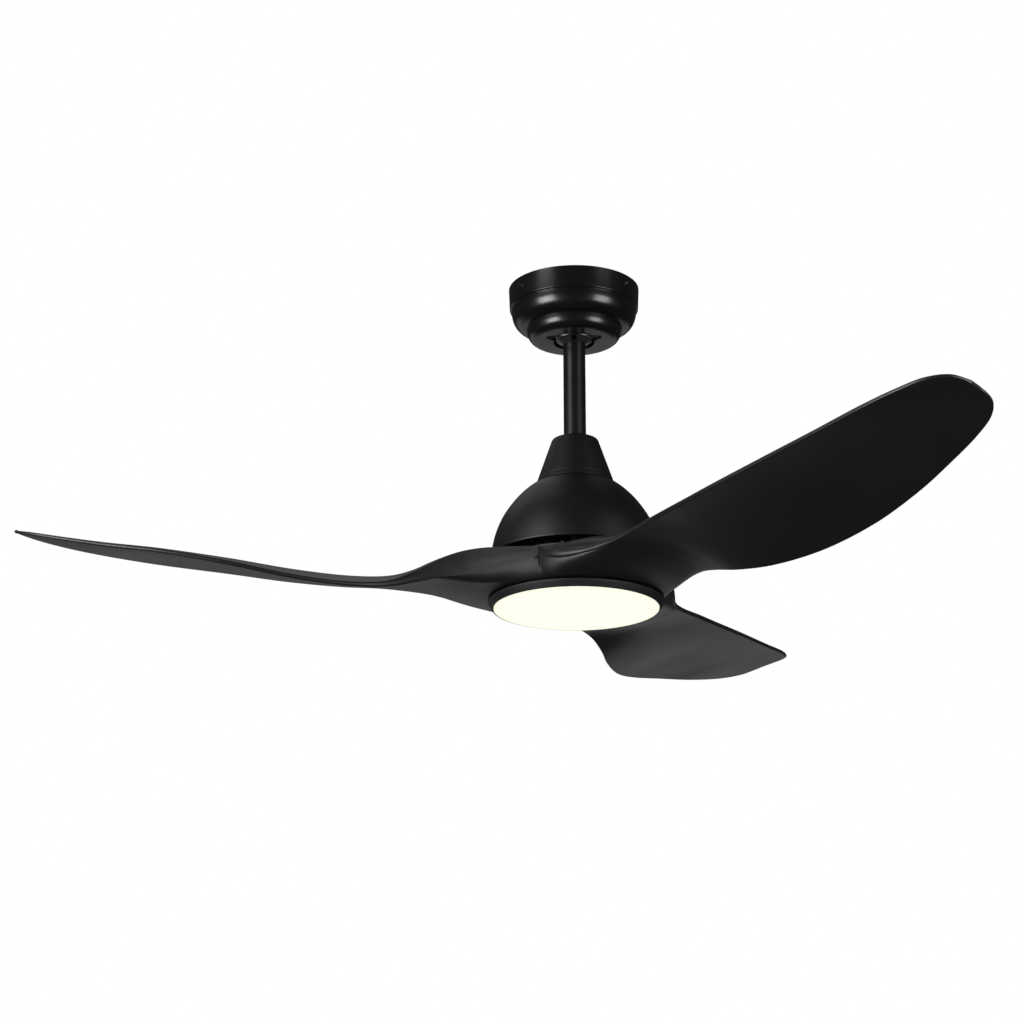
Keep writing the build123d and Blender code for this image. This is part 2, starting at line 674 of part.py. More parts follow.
# ---------------------------------------------------------------- rotor
hub_wall = 4.0
hub_radius_inner = outer_race_radius + running_gap
blade_screw_shank = 2.5
rotor_screw_circle = rotor_radius - rotor_wall / 2
rotor_screw_shank = 1.5
vent_circle = rotor_radius - 33.0
with BuildPart() as rotor_base:
    ring_at(rotor_foot_z, rotor_floor, rotor_radius, hub_radius_inner)
    ring_at(rotor_floor_z, rotor_wall_height, rotor_radius, rotor_radius - rotor_wall)
    ring_at(rotor_foot_z - 4.0, rotor_floor + 5.0, hub_radius_inner + hub_wall, hub_radius_inner)
    with BuildSketch(Plane.XY.offset(rotor_foot_z)):
        with PolarLocations(blade_screw_circle, 9, start_angle=blade_azimuths[0]):
            Circle(blade_screw_shank + running_gap)
    extrude(amount=rotor_floor, mode=Mode.SUBTRACT)
    with BuildSketch(Plane.XY.offset(rotor_top_z)):
        with PolarLocations(rotor_screw_circle, 6, start_angle=20):
            Circle(rotor_screw_shank + running_gap)
    extrude(amount=-8.0, mode=Mode.SUBTRACT)
save(rotor_base, "rotor_base")

with BuildPart() as flux_ring:
    flux_outer = rotor_radius - rotor_wall - running_gap
    ring_at(rotor_floor_z, rotor_wall_height - 0.5, flux_outer, flux_outer - flux_wall + running_gap)
save(flux_ring, "flux_ring")

magnet_bore = rotor_radius - rotor_wall - flux_wall - magnet_wall
with BuildPart() as rotor_magnets:
    with BuildSketch(Plane.XY.offset(stator_z - 1.0)):
        Circle(magnet_bore + magnet_wall)
        Circle(magnet_bore, mode=Mode.SUBTRACT)
        with PolarLocations(magnet_bore + magnet_wall / 2, magnet_count):
            Rectangle(2 * magnet_wall, 2.0, mode=Mode.SUBTRACT)
    extrude(amount=stator_height + 2.0)
save(rotor_magnets, "rotor_magnets")

with BuildPart() as rotor_cover:
    ring_at(rotor_top_z, rotor_plate, rotor_radius, hub_radius_inner)
    ring_at(rotor_top_z - 4.8, rotor_plate + 4.8, hub_radius_inner + hub_wall, hub_radius_inner)
    with BuildSketch(Plane.XY.offset(rotor_cover_z)):
        with PolarLocations(rotor_screw_circle, 6, start_angle=20):
            Circle(rotor_screw_shank + 0.2)
        with PolarLocations(vent_circle, 6):
            SlotOverall(22.0, 8.0)
    extrude(amount=-rotor_plate, mode=Mode.SUBTRACT)
save(rotor_cover, "rotor_cover")

with BuildPart() as rotor_screws:
    places = [pole(rotor_screw_circle, 20 + 60 * k)[:2] for k in range(6)]
    pan_screw(rotor_cover_z, rotor_plate + 6.0, rotor_screw_shank, 2.4, 1.4, places, upward=False)
save(rotor_screws, "rotor_screws")

# ---------------------------------------------------------------- blades
seam_gap = 0.6
root_top_z = root_foot_z + 34.5
grommet_radius = 5.0
flange_inner = blade_screw_circle - grommet_radius - 3.0
datum_z = root_foot_z - 11.0    # blade heights are given above this plane
drawn_sweep = 660.0             # the table below is drawn for these sizes, and blade_station fits it
drawn_hub = 101.5
neck = 176.0                    # narrowest place of the drawn blade

# Sections across the blade: distance out, leading edge y, its top and bottom height,
# trailing edge y, its bottom and top height, crown of the arched section.
blade_sections = [
    (50.8, -86.4, 45.5, 12.0, 86.4, 12.0, 45.5, 0.5),
    (72.0, -82.5, 37.5, 13.0, 79.0, 11.2, 48.0, 2.0),
    (95.0, -76.5, 34.0, 17.5, 71.0, 11.2, 49.5, 2.5),
    (120.0, -69.0, 33.0, 23.0, 63.0, 13.5, 48.0, 2.0),
    (148.0, -63.0, 34.5, 28.5, 55.5, 15.0, 40.5, 2.5),
    (176.0, -61.0, 38.5, 33.0, 52.0, 12.0, 27.5, 4.0),
    (210.0, -62.5, 41.3, 35.8, 55.0, 5.8, 14.0, 6.0),
    (256.0, -66.5, 43.0, 37.5, 67.0, 1.6, 7.2, 7.5),
    (330.0, -69.0, 48.0, 42.5, 80.5, 5.5, 11.0, 8.0),
    (420.0, -67.5, 57.0, 51.5, 84.5, 20.0, 25.5, 7.0),
    (510.0, -64.5, 65.0, 59.5, 70.0, 34.0, 39.5, 5.0),
    (585.0, -54.0, 73.0, 68.0, 50.5, 46.0, 51.0, 3.0),
    (630.0, -42.0, 78.0, 73.5, 37.0, 56.0, 60.5, 1.5),
    (652.0, -25.0, 78.0, 74.0, 21.0, 62.5, 66.5, 0.6),
    (drawn_sweep, -9.0, 76.0, 73.0, 6.0, 68.0, 71.0, 0.2),
]


def blade_station(distance):
    """Where a drawn distance lies on the blade as set, and how much wider the blade is there."""
    growth = hub_radius / drawn_hub
    if distance <= neck:
        return distance * growth, growth
    along = (distance - neck) / (drawn_sweep - neck)
    return neck * growth + along * (sweep_radius - neck * growth), growth + along * (1 - growth)


def blade_section(y1, top1, low1, y2, low2, top2, crown):
    """Closed section: arched top and underside between blunt edges."""
    middle = (y1 + y2) / 2
    top_middle = (middle, datum_z + (top1 + top2) / 2 + crown)
    low_middle = (middle, datum_z + (low1 + low2) / 2 + crown)
    with BuildLine() as outline:
        ThreePointArc((y1, datum_z + top1), top_middle, (y2, datum_z + top2))
        Line((y2, datum_z + top2), (y2, datum_z + low2))
        ThreePointArc((y2, datum_z + low2), low_middle, (y1, datum_z + low1))
        Line((y1, datum_z + low1), (y1, datum_z + top1))
    return outline.edges()


with BuildPart() as blade_form:
    for distance, y1, top1, low1, y2, low2, top2, crown in blade_sections:
        place, growth = blade_station(distance)
        with BuildSketch(Plane.YZ.offset(place)):
            make_face(blade_section(growth * y1, top1, low1, growth * y2, low2, top2, crown))
    loft(ruled=True)
    with BuildSketch(Plane.XY.offset(root_foot_z)):
        Circle(hub_radius)
        Circle(root_bore, mode=Mode.SUBTRACT)
    extrude(amount=root_top_z - root_foot_z)
    with BuildSketch(Plane.XY.offset(root_foot_z)):
        Circle(root_bore)
    extrude(amount=80.0, mode=Mode.SUBTRACT)
    with BuildSketch(Plane.XY.offset(rotor_foot_z - root_flange)):
        Circle(root_bore + 2.0)
        Circle(flange_inner, mode=Mode.SUBTRACT)
    extrude(amount=root_flange)
    with BuildSketch(Plane.XY.offset(datum_z)):
        with Locations((-sweep_radius / 2, 0)):
            Rectangle(sweep_radius + seam_gap, 2 * sweep_radius)
    extrude(amount=100.0, mode=Mode.SUBTRACT)
    for side in (1, -1):
        with BuildSketch(Plane(origin=(0, 0, datum_z), x_dir=pole(1, 60.0 * side), z_dir=(0, 0, 1))):
            with Locations((0, side * (sweep_radius - seam_gap / 2))):
                Rectangle(3 * sweep_radius, 2 * sweep_radius)
        extrude(amount=100.0, mode=Mode.SUBTRACT)
    with BuildSketch(Plane.XY.offset(rotor_foot_z - root_flange)):
        for azimuth in blade_screw_angles:
            with Locations(pole(blade_screw_circle, azimuth)[:2]):
                Circle(grommet_radius + running_gap)
    extrude(amount=root_flange, mode=Mode.SUBTRACT)

for count, azimuth in enumerate(blade_azimuths, start=1):
    with BuildPart() as blade:
        add(blade_form.part.rotate(Axis.Z, azimuth))
    save(blade, f"blade_{count}")

screw_places = [pole(blade_screw_circle, azimuth + angle)[:2]
                for azimuth in blade_azimuths for angle in blade_screw_angles]
with BuildPart() as blade_grommets:
    with BuildSketch(Plane.XY.offset(rotor_foot_z - root_flange)):
        with Locations(*screw_places):
            Circle(grommet_radius)
            Circle(blade_screw_shank + running_gap, mode=Mode.SUBTRACT)
    extrude(amount=root_flange)
save(blade_grommets, "blade_grommets")

with BuildPart() as blade_screws:
    grip = root_flange + rotor_floor - 1.0
    pan_screw(rotor_foot_z - root_flange, grip, blade_screw_shank, 5.2, 2.8, screw_places)
save(blade_screws, "blade_screws")

# ---------------------------------------------------------------- light kit
bracket_radius = 40.0
light_screw_circle = bracket_radius - 8.0
light_screw_shank = 2.0
with BuildPart() as light_bracket:
    ring_at(pan_top_z, bracket_plate, bracket_radius, thread_radius + running_gap)
    with BuildSketch(Plane.XY.offset(pan_top_z)):
        with PolarLocations(light_screw_circle, 3):
            Circle(light_screw_shank + running_gap)
    extrude(amount=bracket_plate, mode=Mode.SUBTRACT)
save(light_bracket, "light_bracket")

pan_wall = 1.5
hook_radius = pan_foot_radius - 3.0
hook_sink = 0.2                 # the hooks reach into the pan's wall
hook_z = pan_foot_z + 1.0
hook_height = 1.2
hook_count = 3
hook_width = 12.0
with BuildPart() as light_pan:
    lean = (pan_radius - pan_foot_radius) / pan_height
    with BuildSketch(Plane.XZ):
        with BuildLine():
            pan_bore = thread_radius + running_gap
            Polyline((pan_bore, pan_top_z), (pan_radius, pan_top_z), (pan_foot_radius, pan_foot_z),
                     (pan_foot_radius - pan_wall + 0.3, pan_foot_z),
                     (pan_radius - pan_wall - lean * pan_plate, pan_top_z - pan_plate),
                     (pan_bore, pan_top_z - pan_plate), (pan_bore, pan_top_z))
        make_face()
    revolve(axis=Axis.Z)
    with BuildSketch(Plane.XY.offset(hook_z)):
        with PolarLocations((hook_radius + pan_foot_radius + hook_sink) / 2, hook_count, start_angle=30):
            Rectangle(pan_foot_radius + hook_sink - hook_radius, hook_width)
    extrude(amount=hook_height)
    with BuildSketch(Plane.XY.offset(pan_top_z)):
        with PolarLocations(light_screw_circle, 3):
            Circle(light_screw_shank + 0.2)
    extrude(amount=-pan_plate, mode=Mode.SUBTRACT)
save(light_pan, "light_pan")

with BuildPart() as light_screws:
    places = [pole(light_screw_circle, 120 * k)[:2] for k in range(3)]
    pan_screw(pan_top_z - pan_plate, pan_plate + bracket_plate, light_screw_shank, 3.4, 1.8, places)
save(light_screws, "light_screws")

with BuildPart() as shaft_nut:
    with BuildSketch(Plane.XY.offset(nut_z)):
        RegularPolygon(10.5, 6)
        Circle(thread_radius + running_gap, mode=Mode.SUBTRACT)
    extrude(amount=nut_height)
save(shaft_nut, "shaft_nut")

led_board_z = pan_top_z - pan_plate - led_board
led_board_radius = hook_radius - 3.2
led_board_bore = bracket_radius - 2.0
led_rings = [(led_board_bore + 10.0, 12), ((led_board_bore + led_board_radius) / 2 + 2.0, 16),
             (led_board_radius - 6.0, 20)]
with BuildPart() as led_board_plate:
    ring_at(led_board_z, led_board, led_board_radius, led_board_bore)
save(led_board_plate, "led_board")

with BuildPart() as led_chips:
    with BuildSketch(Plane.XY.offset(led_board_z)):
        for circle, chips in led_rings:
            with PolarLocations(circle, chips):
                Rectangle(3.5, 3.5)
    extrude(amount=-0.9)
save(led_chips, "led_chips")

with BuildPart() as led_connector:
    with BuildSketch(Plane.XY.offset(led_board_z)):
        with Locations((0, led_board_bore + 3.0)):
            Rectangle(8.0, 5.0)
    extrude(amount=-2.0)
save(led_connector, "led_connector")


def dish_z(radius):
    """Height of the diffuser's spherical outer face at a distance from the axis."""
    sphere = (lens_radius**2 + lens_crown**2) / (2 * lens_crown)
    return lens_edge_z - lens_crown + sphere - sqrt(sphere**2 - radius**2)


tab_z = hook_z + hook_height + 0.15
tab_height = 1.1
skirt_outer = hook_radius - 0.4
with BuildPart() as diffuser:
    with BuildSketch(Plane.XZ):
        with BuildLine():
            skirt_inner = skirt_outer - 1.5
            half_way = (lens_radius / 2, dish_z(lens_radius / 2))
            ThreePointArc((lens_radius, lens_edge_z), half_way, (0, dish_z(0)))
            Line((0, dish_z(0)), (0, dish_z(0) + lens_wall))
            ThreePointArc((0, dish_z(0) + lens_wall), (skirt_inner / 2, dish_z(skirt_inner / 2) + lens_wall),
                          (skirt_inner, dish_z(skirt_inner) + lens_wall))
            Polyline((skirt_inner, dish_z(skirt_inner) + lens_wall), (skirt_inner, tab_z + tab_height),
                     (skirt_outer, tab_z + tab_height), (skirt_outer, lens_edge_z + 0.9),
                     (lens_radius, lens_edge_z + 0.9), (lens_radius, lens_edge_z))
        make_face()
    revolve(axis=Axis.Z)
    with BuildSketch(Plane.XY.offset(tab_z)):
        with PolarLocations(skirt_outer + 0.4, hook_count, start_angle=30):
            Rectangle(1.6, hook_width - 2.0)
    extrude(amount=tab_height)
save(diffuser, "diffuser")
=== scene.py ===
# %% [markdown]
# # A black three-blade ceiling fan with a round light
#
# The fan hangs from the ceiling by a stepped canopy and a short downrod. A cone covers the joint to the
# motor, a dome houses the motor, and three moulded blades close into one ring under the dome. A shallow
# pan with an opal lens closes the bottom. Nearly every surface is black, so the looks come from three
# things: true curves that carry soft highlights, small rounded edges that catch a thin line of light, and
# paints and plastics that differ only in their gloss and their fine grain.

# %% The frame: the measured parts that everything is built around
from math import atan2, cos, degrees, pi, radians, sin, tan

import bmesh
import bpy
import numpy as np
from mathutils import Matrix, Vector


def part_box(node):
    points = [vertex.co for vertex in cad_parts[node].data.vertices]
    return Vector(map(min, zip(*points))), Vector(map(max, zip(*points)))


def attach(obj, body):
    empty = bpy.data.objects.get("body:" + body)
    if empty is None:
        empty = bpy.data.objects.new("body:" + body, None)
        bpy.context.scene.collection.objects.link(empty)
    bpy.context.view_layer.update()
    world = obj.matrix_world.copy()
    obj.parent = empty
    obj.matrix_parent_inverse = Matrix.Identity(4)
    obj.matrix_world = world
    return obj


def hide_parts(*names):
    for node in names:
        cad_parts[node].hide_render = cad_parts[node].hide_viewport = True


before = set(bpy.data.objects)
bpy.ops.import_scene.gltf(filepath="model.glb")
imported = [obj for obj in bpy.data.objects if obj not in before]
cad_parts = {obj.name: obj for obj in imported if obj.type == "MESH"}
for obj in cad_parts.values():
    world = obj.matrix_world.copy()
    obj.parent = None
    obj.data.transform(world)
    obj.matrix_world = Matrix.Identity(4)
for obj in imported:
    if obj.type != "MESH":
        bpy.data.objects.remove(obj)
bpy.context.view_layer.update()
MM = 0.001
TINY = 1e-6


def level(node, corner, axis=2):
    """A coordinate of a part's box, in millimetres: corner 0 is its lowest, 1 its highest."""
    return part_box(node)[corner][axis] / MM

# %% [markdown]
# ## Camera
#
# The fan is seen from well below, as a person sees it from across a room. A long lens keeps the near
# blade from swelling. The camera stands at eye height, about a metre below the ceiling, looks up by less
# than twenty degrees, and turns a little to the left so that all three blades are in view.

# %% Camera
EYE_DISTANCE = 2.525
EYE_DROP = 1.068
LOOK_UP = 17.65
LOOK_LEFT = 1.6
LENS = 84.0

camera_data = bpy.data.cameras.new("camera")
camera_data.lens = LENS
camera_data.sensor_width = 36.0
camera_data.clip_end = 60.0
camera = bpy.data.objects.new("camera", camera_data)
bpy.context.scene.collection.objects.link(camera)
camera.location = (0.0, -EYE_DISTANCE, -EYE_DROP)
flat = cos(radians(LOOK_UP))
look = Vector((-sin(radians(LOOK_LEFT)) * flat, cos(radians(LOOK_LEFT)) * flat, sin(radians(LOOK_UP))))
camera.rotation_euler = look.to_track_quat("-Z", "Y").to_euler()
bpy.context.scene.camera = camera
bpy.context.scene.view_settings.view_transform = "Standard"
print("camera", tuple(round(c, 3) for c in camera.location), "lens", LENS)

# %% [markdown]
# ## Mesh helpers
#
# Most of this fan was spun or turned, so most pieces are a half profile swept round the axis. A real
# spun or pressed edge is never sharp. `rounded` puts a small arc at each corner of a profile, and
# `lathe` sweeps the result. The alternative, a bevel modifier on a sharp lathe, gives the same radius
# to every edge, while here each corner has its own.

# %% Helper: a profile with rounded corners
ARC_STEPS = 6
ARC_SHARE = 0.49        # an arc takes at most this share of the sides next to its corner


def rounded(corners):
    """Profile points from (radius, height, corner_radius) corners; each corner becomes an arc."""
    points = []
    for index, (r, z, size) in enumerate(corners):
        here = np.array((r, z))
        if size <= 0 or index in (0, len(corners) - 1):
            points.append(here)
            continue
        before = np.array(corners[index - 1][:2]) - here
        after = np.array(corners[index + 1][:2]) - here
        reach_before, reach_after = np.linalg.norm(before), np.linalg.norm(after)
        before, after = before / reach_before, after / reach_after
        half = np.arccos(np.clip(before @ after, -1, 1)) / 2
        setback = min(size / max(tan(half), TINY), reach_before * ARC_SHARE, reach_after * ARC_SHARE)
        start, end = here + before * setback, here + after * setback
        for t in np.linspace(0, 1, ARC_STEPS + 1):
            points.append((1 - t) ** 2 * start + 2 * t * (1 - t) * here + t**2 * end)
    return [(float(p[0]), float(p[1])) for p in points]


print("a rounded corner has", len(rounded([(0, 0, 0), (1, 0, 0.2), (1, 1, 0)])) - 2, "points")

# %% Helper: a mesh from points in millimetres
SHARP_ANGLE = 32.0      # an edge that turns by more than this is shaded sharp, in degrees


def new_mesh(name, vertices, faces, sharp=SHARP_ANGLE):
    """Object from vertices in millimetres, smooth-shaded up to the given angle."""
    mesh = bpy.data.meshes.new(name)
    mesh.from_pydata([tuple(c * MM for c in v) for v in vertices], [], faces)
    mesh.validate()
    mesh.update()
    mesh.shade_smooth()
    mesh.set_sharp_from_angle(angle=radians(sharp))
    piece = bpy.data.objects.new(name, mesh)
    bpy.context.scene.collection.objects.link(piece)
    return piece


def finish_normals(piece):
    """Point every face outwards."""
    shell = bmesh.new()
    shell.from_mesh(piece.data)
    bmesh.ops.recalc_face_normals(shell, faces=shell.faces)
    shell.to_mesh(piece.data)
    shell.free()
    return piece


print("faces stay smooth up to", SHARP_ANGLE, "degrees")

# %% Helper: a lathe


def lathe(name, profile, segments=160, closed=True, sharp=SHARP_ANGLE):
    """Sweep a profile of (radius, height) points round the fan's axis."""
    vertices, faces, rings = [], [], []
    for r, z in profile:
        if r < TINY:
            rings.append([len(vertices)] * segments)
            vertices.append((0.0, 0.0, z))
        else:
            rings.append(list(range(len(vertices), len(vertices) + segments)))
            for k in range(segments):
                a = 2 * pi * k / segments
                vertices.append((r * cos(a), r * sin(a), z))
    pairs = list(zip(rings, rings[1:]))
    if closed:
        pairs.append((rings[-1], rings[0]))
    for low, high in pairs:
        for k in range(segments):
            n = (k + 1) % segments
            corners = list(dict.fromkeys([low[k], low[n], high[n], high[k]]))
            if len(corners) > 2:
                faces.append(corners)
    return new_mesh(name, vertices, faces, sharp)


print("lathe ready")

# %% [markdown]
# ## Finishes
#
# Black paint is not one thing. Powder coat has a faint orange-peel skin that breaks up a reflection,
# moulded plastic has a fine spark-eroded grain and almost no reflection, and both are a few percent
# lighter than pure black. Each finish is a Principled shader whose roughness and bump come from noise
# in object space, so that the grain has one real size on every piece. Flat values sit on the shader
# itself, and only what varies over the surface is linked.

# %% Helper: a material with its constants set


def finish_nodes(name, colour, roughness, metallic=0.0):
    """A Principled material with its constants set; returns it with its node tree's parts."""
    material = bpy.data.materials.new(name)
    material.use_nodes = True
    tree = material.node_tree
    shader = next(n for n in tree.nodes if n.type == "BSDF_PRINCIPLED")
    shader.inputs["Base Color"].default_value = (*colour, 1.0)
    shader.inputs["Roughness"].default_value = roughness
    shader.inputs["Metallic"].default_value = metallic
    coordinates = tree.nodes.new("ShaderNodeTexCoord")
    return material, tree, shader, coordinates


print("each finish starts from a Principled shader")

# %% Helpers: noise and what it drives


def noise(tree, coordinates, scale, detail=3.0, stretch=None):
    """Noise in object space; scale is per metre."""
    texture = tree.nodes.new("ShaderNodeTexNoise")
    texture.inputs["Scale"].default_value = scale
    texture.inputs["Detail"].default_value = detail
    if stretch:
        mapping = tree.nodes.new("ShaderNodeMapping")
        mapping.inputs["Scale"].default_value = stretch
        tree.links.new(coordinates.outputs["Object"], mapping.inputs["Vector"])
        tree.links.new(mapping.outputs["Vector"], texture.inputs["Vector"])
    else:
        tree.links.new(coordinates.outputs["Object"], texture.inputs["Vector"])
    return texture


def spread(tree, source, low, high, start=0.3, end=0.7):
    """Map a texture's factor to a range of values."""
    node = tree.nodes.new("ShaderNodeMapRange")
    node.inputs["From Min"].default_value = start
    node.inputs["From Max"].default_value = end
    node.inputs["To Min"].default_value = low
    node.inputs["To Max"].default_value = high
    tree.links.new(source, node.inputs["Value"])
    return node.outputs["Result"]


def tint(tree, shader, factor, dark, light):
    """Drive the base colour between two tones."""
    ramp = tree.nodes.new("ShaderNodeValToRGB")
    ramp.color_ramp.elements[0].color = (*dark, 1.0)
    ramp.color_ramp.elements[1].color = (*light, 1.0)
    tree.links.new(factor, ramp.inputs["Fac"])
    tree.links.new(ramp.outputs["Color"], shader.inputs["Base Color"])


def bump(tree, shader, heights, distance, strength=1.0):
    """Bump from a height output, its distance in metres."""
    node = tree.nodes.new("ShaderNodeBump")
    node.inputs["Strength"].default_value = strength
    node.inputs["Distance"].default_value = distance
    tree.links.new(heights, node.inputs["Height"])
    tree.links.new(node.outputs["Normal"], shader.inputs["Normal"])


print("noise can drive roughness, colour and bump")

# %% Finishes: satin and matt black paint
PEEL_SCALE, MARK_SCALE, CLOUD_SCALE = 900.0, 22.0, 60.0      # per metre
PEEL_DEPTH = 0.00003
PEEL_STRENGTH = 0.6
DARKER, LIGHTER, BLUER = 0.9, 1.1, 1.12                      # shares of the paint's tone


def powder_coat(name, tone, gloss_low, gloss_high):
    """Black paint with an orange-peel skin and faint handling marks."""
    material, tree, shader, where = finish_nodes(name, (tone,) * 3, 0.4)
    skin = noise(tree, where, PEEL_SCALE, detail=2.0)
    marks = noise(tree, where, MARK_SCALE, detail=4.0)
    cloud = noise(tree, where, CLOUD_SCALE, detail=2.0)
    tree.links.new(spread(tree, marks.outputs["Fac"], gloss_low, gloss_high), shader.inputs["Roughness"])
    light = (tone * LIGHTER, tone * LIGHTER, tone * BLUER)
    tint(tree, shader, cloud.outputs["Fac"], (tone * DARKER,) * 3, light)
    bump(tree, shader, skin.outputs["Fac"], PEEL_DEPTH, PEEL_STRENGTH)
    return material


canopy_black = powder_coat("canopy_satin_black", 0.004, 0.23, 0.30)
rod_black = powder_coat("rod_satin_black", 0.004, 0.30, 0.38)
housing_black = powder_coat("housing_matt_black", 0.003, 0.43, 0.51)
pan_black = powder_coat("pan_matt_black", 0.002, 0.55, 0.62)
print("paints:", canopy_black.name, rod_black.name, housing_black.name, pan_black.name)

# %% Finishes: moulded plastic
GRAIN_SCALE, FLOW_SCALE = 2600.0, 9.0                        # per metre
FLOW_DARK, FLOW_LIGHT = 0.94, 1.06                           # shares of the plastic's tone
SKIN_STRENGTH = 0.5


def moulded_plastic(name, tone, gloss_low, gloss_high, grain=0.00003):
    """Moulded plastic: spark-eroded grain, flow marks, a dry and even surface."""
    material, tree, shader, where = finish_nodes(name, (tone,) * 3, 0.5)
    fine = noise(tree, where, GRAIN_SCALE, detail=2.0)
    flow = noise(tree, where, FLOW_SCALE, detail=3.0)
    tree.links.new(spread(tree, flow.outputs["Fac"], gloss_low, gloss_high), shader.inputs["Roughness"])
    tint(tree, shader, flow.outputs["Fac"], (tone * FLOW_DARK,) * 3, (tone * FLOW_LIGHT,) * 3)
    bump(tree, shader, fine.outputs["Fac"], grain, SKIN_STRENGTH)
    return material


blade_black = moulded_plastic("blade_matt_black", 0.008, 0.36, 0.44)
ball_black = moulded_plastic("ball_gloss_black", 0.02, 0.16, 0.24, grain=0.00001)
print("plastics:", blade_black.name, ball_black.name)

# %% Finishes: metals
METAL_SHADE = 0.88      # dark tone of a metal, as a share of its colour


def metal(name, colour, rough_low, rough_high, scale=300.0, stretch=None, depth=0.00001):
    """Bare or plated metal, with fine lines or spangle by the stretch of its noise."""
    material, tree, shader, where = finish_nodes(name, colour, rough_low, metallic=1.0)
    grain = noise(tree, where, scale, detail=4.0, stretch=stretch)
    tree.links.new(spread(tree, grain.outputs["Fac"], rough_low, rough_high), shader.inputs["Roughness"])
    tint(tree, shader, grain.outputs["Fac"], tuple(c * METAL_SHADE for c in colour), colour)
    bump(tree, shader, grain.outputs["Fac"], depth, SKIN_STRENGTH)
    return material


zinc = metal("zinc_plate", (0.62, 0.63, 0.64), 0.26, 0.42, scale=180.0)
dark_zinc = metal("blackened_steel", (0.10, 0.10, 0.105), 0.30, 0.42, scale=400.0)
polished = metal("bearing_steel", (0.78, 0.79, 0.80), 0.06, 0.14, scale=500.0)
cast_alloy = metal("die_cast_alloy", (0.60, 0.61, 0.62), 0.38, 0.55, scale=700.0, depth=0.00004)
stacked = metal("stacked_laminations", (0.26, 0.27, 0.29), 0.35, 0.5,
                scale=30.0, stretch=(1, 1, 90), depth=0.0001)
copper = metal("enamelled_copper", (0.75, 0.33, 0.13), 0.2, 0.34,
               scale=30.0, stretch=(1, 1, 60), depth=0.0002)
nickel = metal("nickel_plate", (0.42, 0.42, 0.43), 0.18, 0.3, scale=260.0)
print("seven metals made, from", zinc.name, "to", nickel.name)

# %% Finishes: boards, leads and small mouldings
PIECE_SCALE = 700.0     # per metre
PIECE_DEPTH = 0.00003
PIECE_SHADE = 0.9


def small_part(name, colour, rough_low, rough_high):
    """Small moulded or coated piece with a fine uneven skin."""
    material, tree, shader, where = finish_nodes(name, colour, rough_low)
    skin = noise(tree, where, PIECE_SCALE, detail=3.0)
    tree.links.new(spread(tree, skin.outputs["Fac"], rough_low, rough_high), shader.inputs["Roughness"])
    tint(tree, shader, skin.outputs["Fac"], tuple(c * PIECE_SHADE for c in colour), colour)
    bump(tree, shader, skin.outputs["Fac"], PIECE_DEPTH, SKIN_STRENGTH)
    return material


board_green = small_part("solder_resist_green", (0.02, 0.13, 0.06), 0.3, 0.42)
board_white = small_part("solder_resist_white", (0.86, 0.86, 0.84), 0.35, 0.5)
part_black = small_part("moulded_black", (0.03, 0.03, 0.032), 0.45, 0.6)
nylon = small_part("natural_nylon", (0.78, 0.77, 0.70), 0.38, 0.5)
phosphor = small_part("led_phosphor", (0.90, 0.78, 0.30), 0.3, 0.45)
lead_black = small_part("lead_insulation", (0.025, 0.025, 0.026), 0.42, 0.55)
rubber = small_part("soft_rubber", (0.02, 0.02, 0.02), 0.65, 0.8)
print("small pieces: seven finishes, from", board_green.name, "to", rubber.name)

# %% [markdown]
# ## Opal lens
#
# The lens is lit from behind by rings of LEDs, but an opal sheet scatters their light so well that the
# disc looks almost evenly white, with a breath of warmth. It is made as a glowing satin plastic. The glow
# falls off a little towards the rim, where less light reaches the sheet, and that depends only on the
# distance from the fan's axis.

# %% Finish: opal lens
LENS_RADIUS = level("diffuser", 1, 0)
SHEET_COLOUR = (0.30, 0.30, 0.27)
GLOW_MIDDLE = (0.985, 0.99, 0.84, 1.0)
GLOW_RIM = (0.93, 0.93, 0.76, 1.0)
GLOW_STRENGTH = 0.93
FADE_START = 0.86       # share of the radius where the glow starts to fall
SATIN_SCALE = 1500.0    # per metre
SATIN_DEPTH, SATIN_STRENGTH = 0.00002, 0.4


def opal_glow():
    """Glowing opal plastic, a little dimmer at the rim."""
    material, tree, shader, where = finish_nodes("opal_lens", SHEET_COLOUR, 0.35)
    split = tree.nodes.new("ShaderNodeSeparateXYZ")
    tree.links.new(where.outputs["Object"], split.inputs["Vector"])
    flat_vector = tree.nodes.new("ShaderNodeCombineXYZ")
    tree.links.new(split.outputs["X"], flat_vector.inputs["X"])
    tree.links.new(split.outputs["Y"], flat_vector.inputs["Y"])
    distance = tree.nodes.new("ShaderNodeVectorMath")
    distance.operation = "LENGTH"
    tree.links.new(flat_vector.outputs["Vector"], distance.inputs[0])
    ramp = tree.nodes.new("ShaderNodeValToRGB")
    radius = LENS_RADIUS * MM
    fade = spread(tree, distance.outputs["Value"], 0.0, 1.0, start=radius * FADE_START, end=radius)
    ramp.color_ramp.elements[0].color = GLOW_MIDDLE
    ramp.color_ramp.elements[1].color = GLOW_RIM
    tree.links.new(fade, ramp.inputs["Fac"])
    tree.links.new(ramp.outputs["Color"], shader.inputs["Emission Color"])
    shader.inputs["Emission Strength"].default_value = GLOW_STRENGTH
    skin = noise(tree, where, SATIN_SCALE, detail=2.0)
    bump(tree, shader, skin.outputs["Fac"], SATIN_DEPTH, SATIN_STRENGTH)
    return material


opal = opal_glow()
print("lens finish for a radius of", round(LENS_RADIUS, 1), "mm")

# %% [markdown]
# ## Finishes on the measured parts
#
# Most of the fan's pieces are hidden or small, and their measured shape is right as it is: the bearings,
# the coils, the boards, the screws. They only need the finish of the real piece. One table from part to
# finish is easier to read and to correct than a line for each part.

